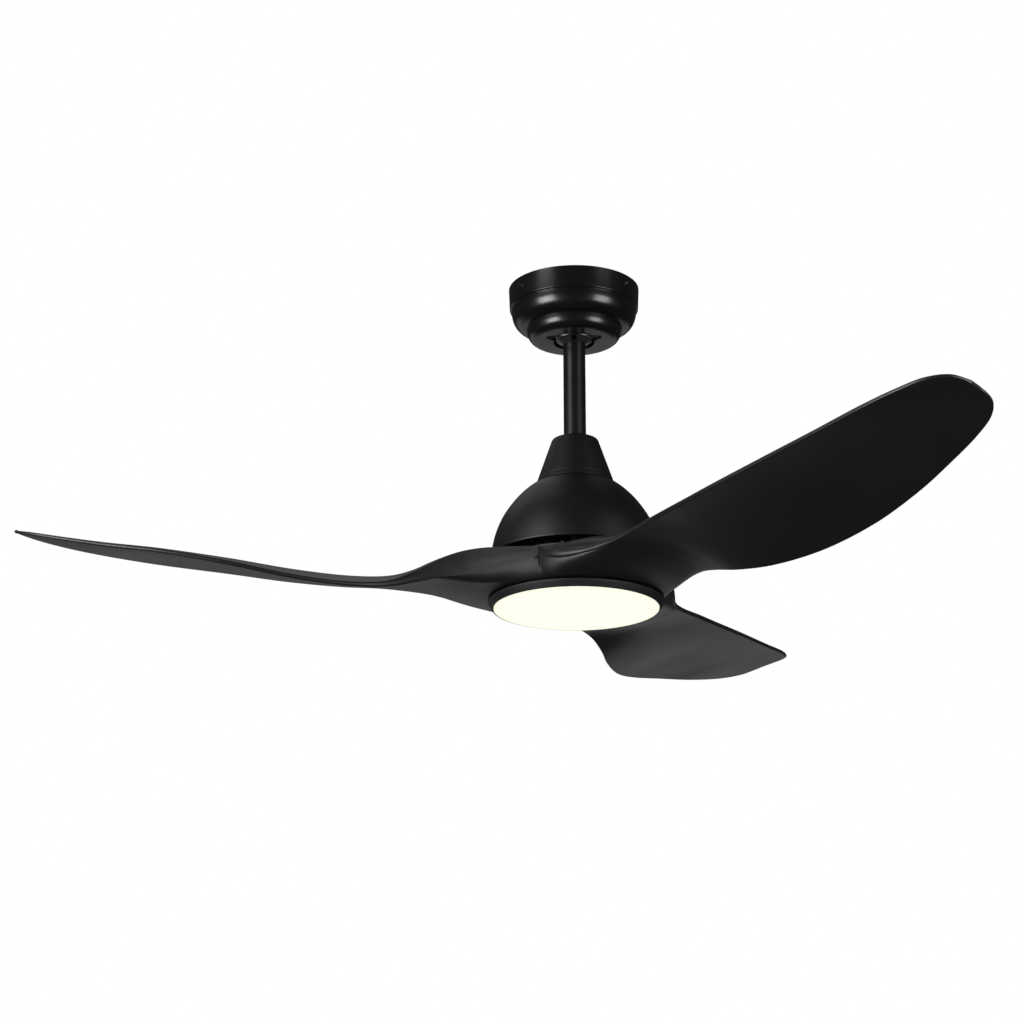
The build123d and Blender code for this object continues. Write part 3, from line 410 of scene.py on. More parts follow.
# %% Finishes on the measured parts
FINISH_OF_NODE = {
    "hanger_bracket": zinc, "earth_screw": zinc, "canopy_screws": dark_zinc, "terminal_block": nylon,
    "supply_leads": lead_black, "rod_leads": lead_black, "hanger_ball": ball_black, "ball_pin": zinc,
    "ball_set_screw": zinc, "motor_coupling": rod_black, "coupling_bolt": zinc, "spring_clip": zinc,
    "coupling_set_screws": zinc, "housing_screws": zinc, "motor_shaft": zinc, "driver_plate": zinc,
    "board_standoffs": zinc, "driver_board": board_green, "driver_components": part_black,
    "stator_carrier": cast_alloy, "stator_core": stacked, "stator_coils": copper,
    "bearing_inner_races": polished, "bearing_balls": polished, "bearing_outer_races": polished,
    "retaining_rings": zinc, "rotor_base": part_black, "flux_ring": dark_zinc, "rotor_magnets": nickel,
    "rotor_cover": part_black, "rotor_screws": dark_zinc, "blade_grommets": rubber, "blade_screws": zinc,
    "light_bracket": zinc, "light_screws": zinc, "shaft_nut": zinc, "led_board": board_white,
    "led_chips": phosphor, "led_connector": nylon, "canopy": canopy_black, "downrod": rod_black,
    "coupling_cover": housing_black, "motor_housing": housing_black, "light_pan": pan_black,
    "diffuser": opal, "blade_1": blade_black, "blade_2": blade_black, "blade_3": blade_black,
}
for node_name, material in FINISH_OF_NODE.items():
    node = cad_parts[node_name]
    node.data.materials.clear()
    node.data.materials.append(material)
print("finishes on", len(FINISH_OF_NODE), "of", len(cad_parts), "nodes")

# %% Helper: settle a new piece on its body


def settle(piece, body, material, replaced):
    """Give a new piece its finish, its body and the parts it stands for."""
    piece.data.materials.append(material)
    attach(piece, body)
    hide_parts(*replaced)
    print(piece.name, "rides", body, "with", len(piece.data.polygons), "faces")


# %% [markdown]
# ## Canopy
#
# The canopy is spun from sheet steel in two tiers. A straight band meets the ceiling, a small rolled step
# divides it from a rounded shoulder, and a second, smaller tier ends in a flat face with the hole that
# the hanger ball shows in. The hole has a fine rolled lip and two notches that let the ball's key pass.
# The step and the crease are what give it life, because each catches a thin bright line. One closed
# profile makes both its outside and its inside, so it has a real wall, and the notches are pushed into
# the finished shell.

# %% Canopy: its sizes
CANOPY_TOP_RADIUS = level("canopy", 1, 0)
CANOPY_FOOT = level("canopy", 0)
CANOPY_WALL = 1.2
WALL_LIFT = 0.8         # how far the inside stands above the outside, in walls
BAND_FOOT = -24.0
BAND_TAPER = 0.9
GROOVE_DEPTH = 2.2
GROOVE_TOP, GROOVE_FOOT = BAND_FOOT - 0.9, BAND_FOOT - 1.6
CREASE = (54.6, -46.6)
TIER_FACE_RADIUS = 41.0
CANOPY_HOLE = 23.0
LIP_WIDTH = 2.4
LIP_DROP = 1.4
band_foot_radius = CANOPY_TOP_RADIUS - BAND_TAPER
groove_radius = band_foot_radius - GROOVE_DEPTH
print("canopy:", round(2 * CANOPY_TOP_RADIUS, 1), "mm wide,", round(-CANOPY_FOOT, 1), "mm deep")

# %% Helpers: a rounded shoulder and its inside


def bulge(start, end, out, along, steps=14):
    """Rounded shoulder between two profile points: leaves downwards, arrives inwards."""
    start, end = np.array(start), np.array(end)
    drop, pull = end[1] - start[1], end[0] - start[0]
    first = start + np.array((0.0, drop * out))
    second = end - np.array((pull * along, 0.0))
    line = []
    for t in np.linspace(0, 1, steps):
        line.append((1 - t) ** 3 * start + 3 * t * (1 - t) ** 2 * first
                    + 3 * t**2 * (1 - t) * second + t**3 * end)
    return [(float(p[0]), float(p[1])) for p in line]


def inside_of(line):
    """The inside of a stretch of the shell, run backwards."""
    return [(r - CANOPY_WALL, z + CANOPY_WALL * WALL_LIFT) for r, z in reversed(line[:-1])]


print("a shoulder has", len(bulge((groove_radius, GROOVE_FOOT), CREASE, 0.62, 0.62)), "points")

# %% Canopy shell
outside = rounded([(CANOPY_TOP_RADIUS, 0.0, 0), (CANOPY_TOP_RADIUS, -1.0, 0.5),
                   (band_foot_radius, BAND_FOOT, 1.1), (groove_radius, GROOVE_TOP, 0.7),
                   (groove_radius, GROOVE_FOOT, 0)])
shoulder = bulge((groove_radius, GROOVE_FOOT), CREASE, out=0.62, along=0.62)
tier = bulge((CREASE[0] - 0.9, CREASE[1] - 0.7), (TIER_FACE_RADIUS, CANOPY_FOOT), out=0.7, along=0.62)
lip = rounded([(TIER_FACE_RADIUS, CANOPY_FOOT, 0), (CANOPY_HOLE + LIP_WIDTH, CANOPY_FOOT, 0.4),
               (CANOPY_HOLE + LIP_WIDTH - 0.5, CANOPY_FOOT - LIP_DROP, 0.7),
               (CANOPY_HOLE, CANOPY_FOOT - LIP_DROP, 0.6), (CANOPY_HOLE, CANOPY_FOOT + CANOPY_WALL, 0.4),
               (TIER_FACE_RADIUS - 1.5, CANOPY_FOOT + CANOPY_WALL, 0)])
inside_band = [(groove_radius - 1.0, BAND_FOOT + 0.6), (band_foot_radius - CANOPY_WALL, BAND_FOOT + 2.8),
               (CANOPY_TOP_RADIUS - CANOPY_WALL, 0.0)]
canopy_profile = outside + shoulder[1:] + tier + lip[1:] + inside_of(tier) + inside_of(shoulder) + inside_band
canopy_shell = lathe("canopy_shell", canopy_profile)
print("canopy profile:", len(canopy_profile), "points")

# %% Canopy notches: the hole's edge is pushed outwards over two short arcs
NOTCH_AZIMUTHS = (-25.0, -155.0)
NOTCH_HALF_WIDTH = 9.0
NOTCH_DEPTH = 8.5
EDGE_BAND = 2.5         # the vertices this near the hole's edge move
moved = 0
for vertex in canopy_shell.data.vertices:
    reach = np.hypot(vertex.co.x, vertex.co.y) / MM
    bearing = degrees(atan2(vertex.co.y, vertex.co.x))
    near = min(abs((bearing - azimuth + 180.0) % 360.0 - 180.0) for azimuth in NOTCH_AZIMUTHS)
    if near < NOTCH_HALF_WIDTH and reach < CANOPY_HOLE + EDGE_BAND:
        stretch = (reach + NOTCH_DEPTH) / reach
        vertex.co.x *= stretch
        vertex.co.y *= stretch
        vertex.co.z = max(vertex.co.z, CANOPY_FOOT * MM)
        moved += 1
finish_normals(canopy_shell)
settle(canopy_shell, "ceiling_mount", canopy_black, ["canopy"])
print(moved, "vertices moved for the notches")

# %% [markdown]
# ## Downrod and coupling cover
#
# The rod is plain painted tube. The cover over the coupling is a cone with a rounded top edge and a
# thin bead just above its foot. Both are turned from one closed profile each. The cover is shaded smooth
# over wider turns than the other pieces, so that its small bead reads as a soft line.

# %% Downrod
ROD_RADIUS = level("downrod", 1, 0)
ROD_FOOT, ROD_TOP = level("downrod", 0), level("downrod", 1)
ROD_WALL = 1.6
ROD_BORE = ROD_RADIUS - ROD_WALL
rod_profile = rounded([(ROD_BORE, ROD_FOOT, 0), (ROD_RADIUS, ROD_FOOT, 0.5), (ROD_RADIUS, ROD_TOP, 0.5),
                       (ROD_BORE, ROD_TOP, 0.4), (ROD_BORE, ROD_FOOT, 0)])[:-1]
downrod_tube = finish_normals(lathe("downrod_tube", rod_profile, segments=96))
settle(downrod_tube, "stem", rod_black, ["downrod"])

# %% Coupling cover: its sizes
COVER_FOOT, COVER_TOP = level("coupling_cover", 0), level("coupling_cover", 1)
COVER_FOOT_RADIUS = level("coupling_cover", 1, 0)
COVER_TOP_RADIUS = 25.6
COVER_WALL = 1.5
COVER_HOLE = ROD_RADIUS + 1.0
BEAD_RISE = 5.2
bead = COVER_FOOT + BEAD_RISE
lean = (COVER_FOOT_RADIUS - COVER_TOP_RADIUS) / (COVER_TOP - COVER_FOOT)


def cover_radius(z):
    """Radius of the cone at a height."""
    return COVER_FOOT_RADIUS - lean * (z - COVER_FOOT)


print("cover bead at a radius of", round(cover_radius(bead), 1), "mm")

# %% Coupling cover
cover_profile = rounded([
    (COVER_HOLE, COVER_TOP - COVER_WALL, 0), (COVER_HOLE, COVER_TOP, 0.4),
    (COVER_TOP_RADIUS, COVER_TOP, 4.0), (cover_radius(bead + 0.6), bead + 0.6, 0.2),
    (cover_radius(bead) - 0.5, bead + 0.2, 0.2), (cover_radius(bead), bead - 0.2, 0.2),
    (COVER_FOOT_RADIUS, COVER_FOOT, 0.5), (COVER_FOOT_RADIUS - COVER_WALL, COVER_FOOT, 0.4),
    (COVER_TOP_RADIUS - 2.2, COVER_TOP - COVER_WALL, 2.5), (COVER_HOLE, COVER_TOP - COVER_WALL, 0)])[:-1]
cover_cone = finish_normals(lathe("cover_cone", cover_profile, segments=128, sharp=50))
settle(cover_cone, "coupling_cover", housing_black, ["coupling_cover"])

# %% [markdown]
# ## Motor housing
#
# The housing is a dome that stands almost upright at its lip and closes towards the cone, like a bell,
# with a thin bead round the lip. Its profile is a smooth curve through a few stations, because a plain
# half-sphere would be too squat. The curve passes through every station, so each can be set by eye.

# %% Helper: a smooth curve through stations


def smooth_curve(points, count, crowd=1.0):
    """Centripetal Catmull-Rom curve through points; a crowd above 1 packs its samples towards the end."""
    p = np.array(points, float)
    p = np.vstack([2 * p[0] - p[1], p, 2 * p[-1] - p[-2]])
    knots = np.concatenate([[0], np.cumsum(np.sqrt(np.linalg.norm(np.diff(p, axis=0), axis=1)) + 1e-9)])
    samples = knots[1] + (knots[-2] - knots[1]) * (1 - (1 - np.linspace(0, 1, count)) ** crowd)
    out = []
    for t in samples:
        i = int(np.clip(np.searchsorted(knots, t, side="right") - 1, 1, len(p) - 3))
        a, b, c, d = p[i - 1:i + 3]
        ta, tb, tc, td = knots[i - 1:i + 3]
        ab = (tb - t) / (tb - ta) * a + (t - ta) / (tb - ta) * b
        bc = (tc - t) / (tc - tb) * b + (t - tb) / (tc - tb) * c
        cd = (td - t) / (td - tc) * c + (t - tc) / (td - tc) * d
        abc = (tc - t) / (tc - ta) * ab + (t - ta) / (tc - ta) * bc
        bcd = (td - t) / (td - tb) * bc + (t - tb) / (td - tb) * cd
        out.append((tc - t) / (tc - tb) * abc + (t - tb) / (tc - tb) * bcd)
    return np.array(out)


print("a curve through four stations:", len(smooth_curve([(0, 0), (1, 2), (3, 3), (4, 1)], 12)), "points")

# %% Motor housing: its sizes
LIP, CROWN = level("motor_housing", 0), level("motor_housing", 1)
DOME_RADIUS = level("motor_housing", 1, 0)
DOME_RISE = CROWN - LIP
DOME_WALL = 1.8
WALL_IN, WALL_DOWN = 0.9, 0.8       # how far the inside lies in and under the skin, in walls
DOME_HOLE = 17.6        # for the neck of the coupling
INSIDE_HOLE = 18.0
SHOULDER = (38.0, CROWN - 0.4)
CROWN_EDGE = (30.0, CROWN)
BEAD_OUT = 0.9          # how far the lip's bead stands out
SKIN_START = 3.0        # height over the lip where the skin starts
# Stations up the dome: how far the skin has come in, and its share of the rise.
DOME_STATIONS = [(1.4, 0.16), (4.9, 0.32), (11.5, 0.50), (21.4, 0.675), (33.4, 0.832), (46.5, 0.952)]
print("dome:", round(2 * DOME_RADIUS, 1), "mm wide,", round(DOME_RISE, 1), "mm high")

# %% Motor housing
dome_points = [(DOME_RADIUS - inset, LIP + DOME_RISE * share) for inset, share in DOME_STATIONS]
dome_points = [(DOME_RADIUS, LIP + SKIN_START)] + dome_points + [SHOULDER, CROWN_EDGE]
dome_skin = [tuple(p) for p in smooth_curve(dome_points, 60)]
dome_inner = [(max(r - DOME_WALL * WALL_IN, INSIDE_HOLE), z - DOME_WALL * WALL_DOWN)
              for r, z in reversed(dome_skin)]
dome_lip = rounded([(DOME_RADIUS - DOME_WALL, LIP + SKIN_START, 0), (DOME_RADIUS - DOME_WALL, LIP, 0.6),
                    (DOME_RADIUS + BEAD_OUT, LIP, 1.2), (DOME_RADIUS + BEAD_OUT, LIP + 2.6, 1.2),
                    (DOME_RADIUS, LIP + 2.8, 0.1), (DOME_RADIUS, LIP + SKIN_START, 0)])
dome_neck = [(DOME_HOLE, CROWN), (DOME_HOLE, CROWN - DOME_WALL)]
dome_profile = dome_skin + dome_neck + dome_inner + dome_lip[:-1]
housing_dome = finish_normals(lathe("housing_dome", dome_profile, segments=192))
settle(housing_dome, "stem", housing_black, ["motor_housing"])

# %% [markdown]
# ## Blades
#
# Each blade and its third of the hub ring are one moulding. Seen from below, the blade twists and rises
# from a thick root. The front edge thins quickly out of the ring, and the rear edge swells, dips and
# bows outwards. The surface is built as a grid: two edge curves run from the ring's seam to the tip, and
# matching points on them are joined by lines across the blade, which start as arcs round the hub and
# straighten as they move out. Edge faces are slightly convex, as a moulded edge is. A subdivision cage
# could do the same, but the grid keeps the ring truly round.
#
# The ring isn't a plain wall: its underside rolls up towards its outer face like the rim of a bowl, and
# its top is rounded down to the front edge, so that the root looks soft and the edge stays thin. Both
# are measured from the edge curves themselves, so they fade out smoothly along the blade.

# %% Blade sizes
BLADE_AZIMUTHS = [-52.9, 67.1, -172.9]
RING_INNER = 86.0
RING_OUTER = 101.5
RING_FOOT = 11.0
RING_TOP = 45.5
SEAM_FOOT = 39.0        # underside of the rolled edge at the seam
PAN_GAP = 1.7
DATUM = level("light_pan", 1) + PAN_GAP - RING_FOOT     # blade heights are measured from this plane
SEAM_HALF_ANGLE = 59.8
seam_x, seam_y = cos(radians(SEAM_HALF_ANGLE)), sin(radians(SEAM_HALF_ANGLE))
print("blade datum at", round(DATUM, 1), "mm, ring", RING_TOP - RING_FOOT, "mm high")

# %% Blade edges: stations of x, y, underside height and top height, from the seam to the tip
FRONT_EDGE = [
    (RING_OUTER * seam_x, -RING_OUTER * seam_y, SEAM_FOOT, RING_TOP), (62, -86.5, 34.0, RING_TOP),
    (78, -82.5, 29.0, 45.3), (96, -77.0, 26.5, 44.0), (116, -70.5, 26.5, 41.5), (140, -64.5, 28.5, 40.0),
    (170, -61.5, 32.0, 40.0), (210.1, -62.5, 35.9, 42.2), (254.9, -66.8, 38.0, 43.2),
    (314.1, -69.0, 42.6, 47.8), (383.1, -67.3, 50.0, 55.0), (457.6, -65.5, 57.5, 62.4),
    (520.3, -62.0, 65.5, 70.3), (561.6, -55.5, 71.5, 76.0), (587.5, -47.0, 75.6, 79.8),
    (604.0, -32.5, 76.8, 80.5), (610.0, -12.0, 74.0, 77.5),
]
REAR_EDGE = [
    (RING_OUTER * seam_x, RING_OUTER * seam_y, SEAM_FOOT, RING_TOP), (68, 81.0, 36.0, 46.8),
    (90, 72.5, 30.0, 48.0), (112, 65.0, 24.5, 48.2), (133, 59.0, 20.5, 45.3), (154, 54.6, 17.5, 38.3),
    (177.8, 52.0, 12.4, 26.4), (208.3, 54.6, 5.8, 13.0), (249.5, 64.8, 2.4, 7.6),
    (309.6, 77.0, 5.4, 10.4), (376.9, 83.6, 16.3, 21.2), (448.6, 76.0, 29.7, 34.4),
    (509.6, 59.5, 40.0, 44.7), (558, 45.5, 50.0, 54.2), (588.5, 33.0, 57.8, 61.6),
    (605.0, 17.5, 64.2, 67.6), (610.0, -2.0, 70.8, 74.2),
]
print("edges:", len(FRONT_EDGE), "and", len(REAR_EDGE), "stations")

# %% Blade shape at the same stations
# How far the middle of the blade stands up, and how far its lines across bow outwards round the hub.
CROWN_OF_STATION = [0, 0.5, 1.5, 2.0, 2.0, 2.5, 4.0, 6.0, 7.5, 8.0, 7.3, 5.5, 3.5, 2.0, 1.0, 0.4, 0]
BOW_OF_STATION = [50.5, 48, 43, 36, 28, 20, 11, 5, 1.5, 0, 0, 0, 0, 0, 0, 0, 0]
# How far the underside falls away inside each edge, over ROLL_WIDTH, in a quarter of an ellipse.
FRONT_ROLL = [28, 21, 13.5, 8.5, 5.0, 2.0, 0, 0, 0, 0, 0, 0, 0, 0, 0, 0, 0]
REAR_ROLL = [28, 24.5, 18.5, 11.5, 5.5, 2.0, 0, 0, 0, 0, 0, 0, 0, 0, 0, 0, 0]
ROLL_WIDTH = 12.5
# How far the top is rounded down towards the front edge, so that the edge itself stays thin.
FRONT_ROUND = [0, 5.5, 10.5, 12, 10, 6.5, 3, 1, 0, 0, 0, 0, 0, 0, 0, 0, 0]
ROUND_WIDTH = 13.0
print("deepest roll", max(REAR_ROLL), "mm, highest crown", max(CROWN_OF_STATION), "mm")

# %% Helper: rows across the blade
ALONG = 150             # rows from the seam to the tip
CROWD = 1.7             # above 1, the rows stand closer near the tip
RING_ROWS = 9           # rows through the ring's wall
ROUNDING = 10           # from this column on, a row holds its roll and rounding


def blade_rows():
    """Rows of front x, y, low, high, rear x, y, low, high, crown, bow, front and rear roll, front round."""
    columns = zip(FRONT_EDGE, REAR_EDGE, CROWN_OF_STATION, BOW_OF_STATION, FRONT_ROLL, REAR_ROLL,
                  FRONT_ROUND)
    stations = np.array([[*front, *rear, *rest] for front, rear, *rest in columns], float)
    rows = smooth_curve(stations, ALONG, crowd=CROWD)
    rows[:, ROUNDING:] = np.maximum(rows[:, ROUNDING:], 0.0)
    inner = []
    for step in range(RING_ROWS):
        radius = RING_INNER + (RING_OUTER - RING_INNER) * step / RING_ROWS
        inner.append([radius * seam_x, -radius * seam_y, RING_FOOT, RING_TOP,
                      radius * seam_x, radius * seam_y, RING_FOOT, RING_TOP,
                      0.0, radius * (1 - seam_x), 0.0, 0.0, 0.0])
    return np.array(inner), rows


ring_rows, outer_rows = blade_rows()
print("rows:", len(ring_rows), "through the ring and", len(outer_rows), "out to the tip")

# %% Helpers: directions and distances from an edge


def outward(edge, away):
    """Unit vectors square to an edge curve in plan, pointing away from the other edge."""
    along = np.gradient(edge, axis=0)
    normal = np.stack([along[:, 1], -along[:, 0]], 1)
    normal /= np.linalg.norm(normal, axis=1)[:, None] + 1e-9
    flip = np.sign(((edge - away) * normal).sum(1))
    return normal * np.where(flip == 0, 1, flip)[:, None]


def fine_curve(edge, amount, times=10):
    """The same edge curve with many more points, and the amount that goes with each."""
    old = np.arange(len(edge))
    new = np.linspace(0, len(edge) - 1, times * len(edge))
    points = np.stack([np.interp(new, old, edge[:, 0]), np.interp(new, old, edge[:, 1])], 1)
    return points, np.interp(new, old, amount)


def rolled(points, edge, amount, width):
    """Height that a rolled edge takes at points of the plan: all of it on the edge, none past the width."""
    gap = np.linalg.norm(points[:, None, :] - edge[None, :, :], axis=2)
    nearest = gap.argmin(1)
    u = 1 - np.clip(gap.min(1) / width, 0.0, 1.0)
    return amount[nearest] * (1 - np.sqrt(np.maximum(1 - u**2, 0.0)))


front_curve, rear_curve = outer_rows[:, 0:2], outer_rows[:, 4:6]
front_out, rear_out = outward(front_curve, rear_curve), outward(rear_curve, front_curve)
front_roll = fine_curve(front_curve, outer_rows[:, ROUNDING])
rear_roll = fine_curve(rear_curve, outer_rows[:, ROUNDING + 1])
front_round = fine_curve(front_curve, outer_rows[:, ROUNDING + 2])
print("each edge curve has", len(front_roll[0]), "points for the rolls")

# %% Helpers: how an edge stands out
EDGE_STEPS = 12
EDGE_FULLNESS = 0.6     # below 1, the lower half of an edge is fuller
TOP_CUT = 0.75          # how far the upper half comes back in at the top
LEAST_REACH, REACH_BY_HEIGHT, MOST_REACH = 0.8, 0.2, 3.0
TAPER_WIDTH = 25.0      # narrower than this, near the tip, the edge stands out less
SOFT_CUT = 0.7
SOFT_ROLL = 8.0         # a rear roll of this much makes the rear edge wholly soft


def edge_profile(t):
    """How far an edge stands out, from its underside at 0 to its top at 1."""
    return sin(pi * t) ** EDGE_FULLNESS if t < 0.5 else 1 - TOP_CUT * ((t - 0.5) / 0.5) ** 3


def edge_face(corner, direction, low, high, width, ease, softness):
    """Points up one edge of a row, from its underside to its top."""
    most = min(LEAST_REACH + REACH_BY_HEIGHT * (high - low), MOST_REACH)
    reach = most * min(1.0, width / TAPER_WIDTH) * ease * (1 - SOFT_CUT * softness)
    points = []
    for k in range(1, EDGE_STEPS):
        share = k / EDGE_STEPS
        gentle = (1 - cos(2 * pi * share)) / 2
        x, y = corner + direction * reach * ((1 - softness) * edge_profile(share) + softness * gentle)
        points.append((x, y, low + (high - low) * share))
    return points


print("an edge stands out most at half its height:", round(edge_profile(0.5), 2))

# %% Helper: a section across the blade
ACROSS = 44             # points across the top, and across the underside
UNDER_ARCH = 0.9        # the underside follows this share of the crown
THINNEST = 1.5


def blade_section(row, normals, ease):
    """Closed loop of points round one row: top, rear edge, underside, front edge."""
    fx, fy, f_low, f_high, rx, ry, r_low, r_high, crown, bow, f_roll, r_roll, _ = row
    front, rear = np.array((fx, fy)), np.array((rx, ry))
    span = rear - front
    width = max(np.linalg.norm(span), TINY)
    out = np.array((span[1], -span[0])) / width
    t = 0.5 - 0.5 * np.cos(np.linspace(0, pi, ACROSS))
    plan = front + span * t[:, None] + out * (bow * 4 * t * (1 - t))[:, None]
    arch = crown * 4 * t * (1 - t)
    top = DATUM + f_high + (r_high - f_high) * t + arch - rolled(plan, *front_round, ROUND_WIDTH)
    base = DATUM + (f_low - f_roll) + ((r_low - r_roll) - (f_low - f_roll)) * t + arch * UNDER_ARCH
    under = base + rolled(plan, *front_roll, ROLL_WIDTH) + rolled(plan, *rear_roll, ROLL_WIDTH)
    under = np.minimum(under, top - THINNEST)
    softness = min(1.0, r_roll / SOFT_ROLL)
    loop = [(x, y, z) for (x, y), z in zip(plan, top)]
    loop += list(reversed(edge_face(rear, normals[1], under[-1], top[-1], width, ease, softness)))
    loop += [(x, y, z) for (x, y), z in zip(plan[::-1], under[::-1])]
    loop += edge_face(front, normals[0], under[0], top[0], width, ease, 0.0)
    return loop


still = np.zeros(2)
print("a section has", len(blade_section(ring_rows[0], (still, still), 0.0)), "points")

# %% Helper: a whole blade
EASE_ROWS = 7           # the edges start to stand out over this many rows from the seam


def blade_mesh(name, azimuth):
    """One blade with its third of the ring, turned to its place."""
    rows = [(row, (still, still), 0.0) for row in ring_rows]
    rows += [(row, (front_out[i], rear_out[i]), min(1.0, i / EASE_ROWS)) for i, row in enumerate(outer_rows)]
    turn = radians(azimuth)
    vertices, faces = [], []
    for row, normals, ease in rows:
        for x, y, z in blade_section(row, normals, ease):
            vertices.append((x * cos(turn) - y * sin(turn), x * sin(turn) + y * cos(turn), z))
    loop = 2 * ACROSS + 2 * (EDGE_STEPS - 1)
    for i in range(len(rows) - 1):
        for k in range(loop):
            n = (k + 1) % loop
            faces.append((i * loop + k, i * loop + n, (i + 1) * loop + n, (i + 1) * loop + k))
    faces.append(tuple(range(loop)))
    last = (len(rows) - 1) * loop
    faces.append(tuple(last + k for k in reversed(range(loop))))
    return finish_normals(new_mesh(name, vertices, faces, sharp=40.0))


print("a blade has", len(ring_rows) + len(outer_rows), "sections")

# %% Blades
for number, azimuth in enumerate(BLADE_AZIMUTHS, start=1):
    blade = blade_mesh(f"blade_moulding_{number}", azimuth)
    settle(blade, "rotor", blade_black, [f"blade_{number}"])

# %% [markdown]
# ## Light pan and lens
#
# The pan is a shallow spun dish whose rim leans inwards. Its lower edge holds the opal lens in a fine
# black line. The lens bows down a little, which keeps a plastic sheet from looking warped, and a thin
# skirt on its back reaches into the pan.

# %% Light pan
PAN_TOP, PAN_FOOT = level("light_pan", 1), level("light_pan", 0)
PAN_RADIUS = level("light_pan", 1, 0)
PAN_FOOT_RADIUS = 92.2
PAN_BORE = 6.6
PAN_WALL = 1.2
PAN_PLATE = 1.6
pan_profile = rounded([
    (PAN_BORE, PAN_TOP - PAN_PLATE, 0), (PAN_BORE, PAN_TOP, 0), (PAN_RADIUS, PAN_TOP, 1.4),
    (PAN_FOOT_RADIUS, PAN_FOOT, 0.7), (PAN_FOOT_RADIUS - PAN_WALL, PAN_FOOT, 0.4),
    (PAN_RADIUS - 2.6, PAN_TOP - PAN_PLATE, 1.0), (PAN_BORE, PAN_TOP - PAN_PLATE, 0)])[:-1]
pan_rim = finish_normals(lathe("pan_rim", pan_profile, segments=192))
settle(pan_rim, "stem", pan_black, ["light_pan"])

# %% Lens
LENS_EDGE = PAN_FOOT - 0.2
LENS_SAG = LENS_EDGE - level("diffuser", 0)
SKIRT_OUTER, SKIRT_INNER, SKIRT_RISE = 87.5, 86.0, 5.0
lens_skin = [(LENS_RADIUS * sin(radians(a)), LENS_EDGE - LENS_SAG * cos(radians(a)) ** 2)
             for a in range(0, 91, 6)]
lens_skirt = [(LENS_RADIUS, LENS_EDGE + 0.7), (SKIRT_OUTER, LENS_EDGE + 0.9),
              (SKIRT_OUTER, LENS_EDGE + SKIRT_RISE), (SKIRT_INNER, LENS_EDGE + SKIRT_RISE),
              (SKIRT_INNER, LENS_EDGE + 1.6)]
lens_back = [(84.0, LENS_EDGE + 1.5), (60.0, LENS_EDGE + 0.6), (30.0, LENS_EDGE - 0.1),
             (0.0, LENS_EDGE - 0.4)]
lens_profile = lens_skin + lens_skirt + lens_back
lens_disc = finish_normals(lathe("lens_disc", lens_profile, segments=192, closed=False))
settle(lens_disc, "diffuser", opal, ["diffuser"])

# %% [markdown]
# ## Studio
#
# The floor is plain and pale, and the room is white. The floor lies far below, so that the fan can also
# be seen from underneath. Black paint shows only what it mirrors, so the lights are large and soft and
# each has one job. Two tall panels stand on the left and right in front of the fan and give the canopy
# and the rod their pair of highlights. Two weaker panels above them do the same for the canopy's upright
# band. A wide glow stands behind, which the flat undersides mirror towards the eye, and a light above
# keeps the tops readable. The white of the room is for the eye only: the paint itself mirrors a much
# dimmer room, or it would turn grey.

# %% Floor
FLOOR_DROP = 5.2
FLOOR_WIDTH = 90.0
FLOOR_TONE = 0.85
FLOOR_GLOW = 0.78


def pale_floor():
    """Wide pale floor under the fan; its own light doesn't reach the paint."""
    half = FLOOR_WIDTH / 2
    mesh = bpy.data.meshes.new("floor")
    corners = [(-half, -half, 0), (half, -half, 0), (half, half, 0), (-half, half, 0)]
    mesh.from_pydata(corners, [], [(0, 1, 2, 3)])
    plane = bpy.data.objects.new("floor", mesh)
    bpy.context.scene.collection.objects.link(plane)
    plane.location.z = -FLOOR_DROP
    plane.visible_glossy = False
    plane.visible_diffuse = False
    material = bpy.data.materials.new("floor_white")
    material.use_nodes = True
    shader = next(n for n in material.node_tree.nodes if n.type == "BSDF_PRINCIPLED")
    shader.inputs["Base Color"].default_value = (FLOOR_TONE, FLOOR_TONE, FLOOR_TONE, 1.0)
    shader.inputs["Roughness"].default_value = 0.9
    shader.inputs["Emission Color"].default_value = (1.0, 1.0, 1.0, 1.0)
    shader.inputs["Emission Strength"].default_value = FLOOR_GLOW
    mesh.materials.append(material)
    print("floor", FLOOR_DROP, "m under the ceiling")


pale_floor()

# %% Room
ROOM_GLOW = 0.035


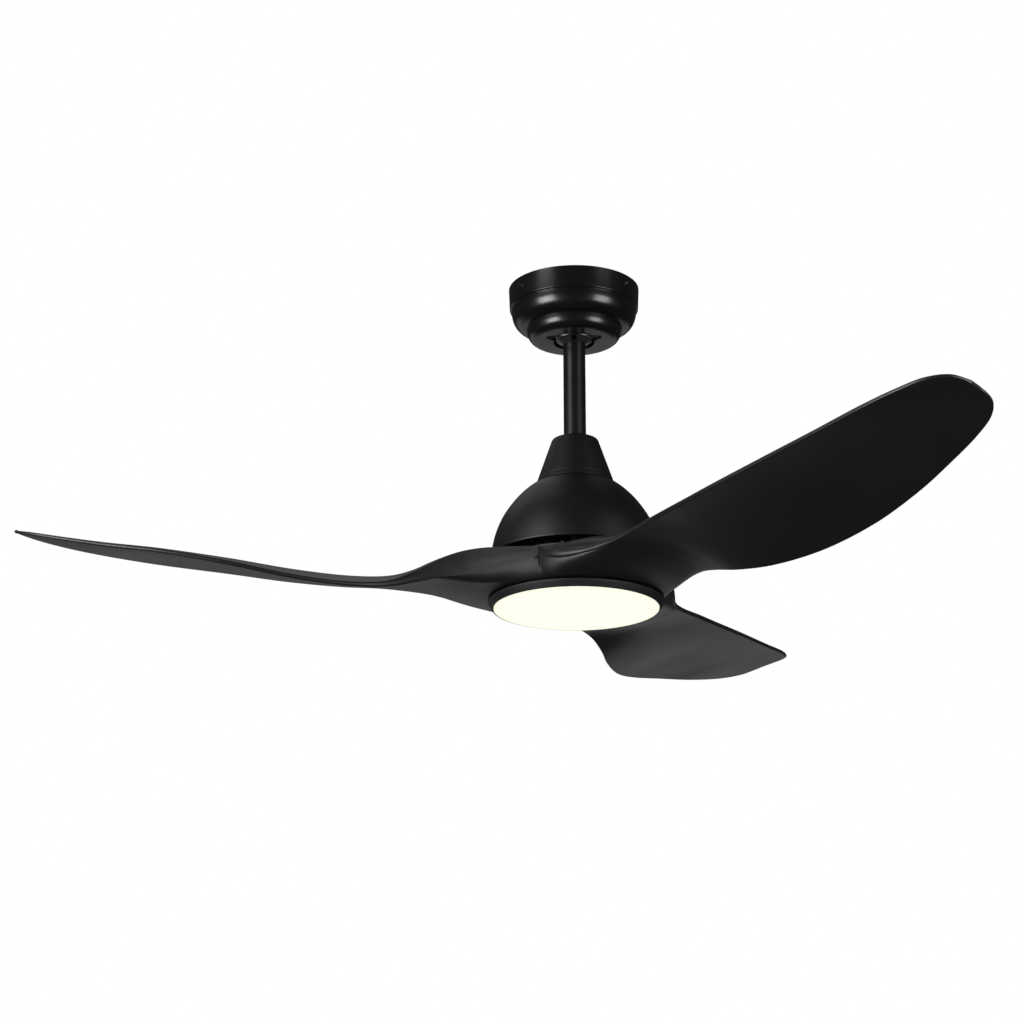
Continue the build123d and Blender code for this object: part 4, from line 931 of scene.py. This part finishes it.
def white_room():
    """World that is white to the eye and dim to the paint."""
    world = bpy.data.worlds.new("studio")
    bpy.context.scene.world = world
    world.use_nodes = True
    tree = world.node_tree
    dim = next(n for n in tree.nodes if n.type == "BACKGROUND")
    output = next(n for n in tree.nodes if n.type == "OUTPUT_WORLD")
    dim.inputs["Color"].default_value = (1.0, 1.0, 1.0, 1.0)
    dim.inputs["Strength"].default_value = ROOM_GLOW
    bright = tree.nodes.new("ShaderNodeBackground")
    bright.inputs["Color"].default_value = (1.0, 1.0, 1.0, 1.0)
    bright.inputs["Strength"].default_value = 1.0
    path = tree.nodes.new("ShaderNodeLightPath")
    choice = tree.nodes.new("ShaderNodeMixShader")
    tree.links.new(path.outputs["Is Camera Ray"], choice.inputs["Fac"])
    tree.links.new(dim.outputs["Background"], choice.inputs[1])
    tree.links.new(bright.outputs["Background"], choice.inputs[2])
    tree.links.new(choice.outputs["Shader"], output.inputs["Surface"])
    print("room made")


white_room()

# %% Lights
FAN_MIDDLE = (0.0, 0.0, -0.25)
# Each panel: name, place, width, height, brightness. Brightness is what a mirror would show of it.
PANELS = [
    ("left_panel", (-2.3, -1.85, -0.75), 1.5, 1.6, 12.0),
    ("right_panel", (2.3, -1.75, -0.75), 1.4, 1.6, 8.0),
    ("left_panel_top", (-2.3, -1.85, 1.45), 1.4, 0.8, 4.2),
    ("right_panel_top", (2.3, -1.75, 1.45), 1.3, 0.8, 1.5),
    ("back_glow", (-0.7, 3.6, -1.2), 4.8, 1.6, 0.38),
    ("top_light", (-0.8, 1.4, 2.6), 3.0, 3.0, 0.5),
]


def panel(name, location, width, height, brightness):
    """Rectangular soft light aimed at the fan."""
    data = bpy.data.lights.new(name, "AREA")
    data.shape = "RECTANGLE"
    data.size = width
    data.size_y = height
    data.energy = brightness * pi * width * height
    lamp = bpy.data.objects.new(name, data)
    bpy.context.scene.collection.objects.link(lamp)
    lamp.location = location
    aim = Vector(FAN_MIDDLE) - Vector(location)
    lamp.rotation_euler = aim.to_track_quat("-Z", "Y").to_euler()
    lamp.visible_camera = False
    print(name, "brightness", brightness)


for row in PANELS:
    panel(*row)
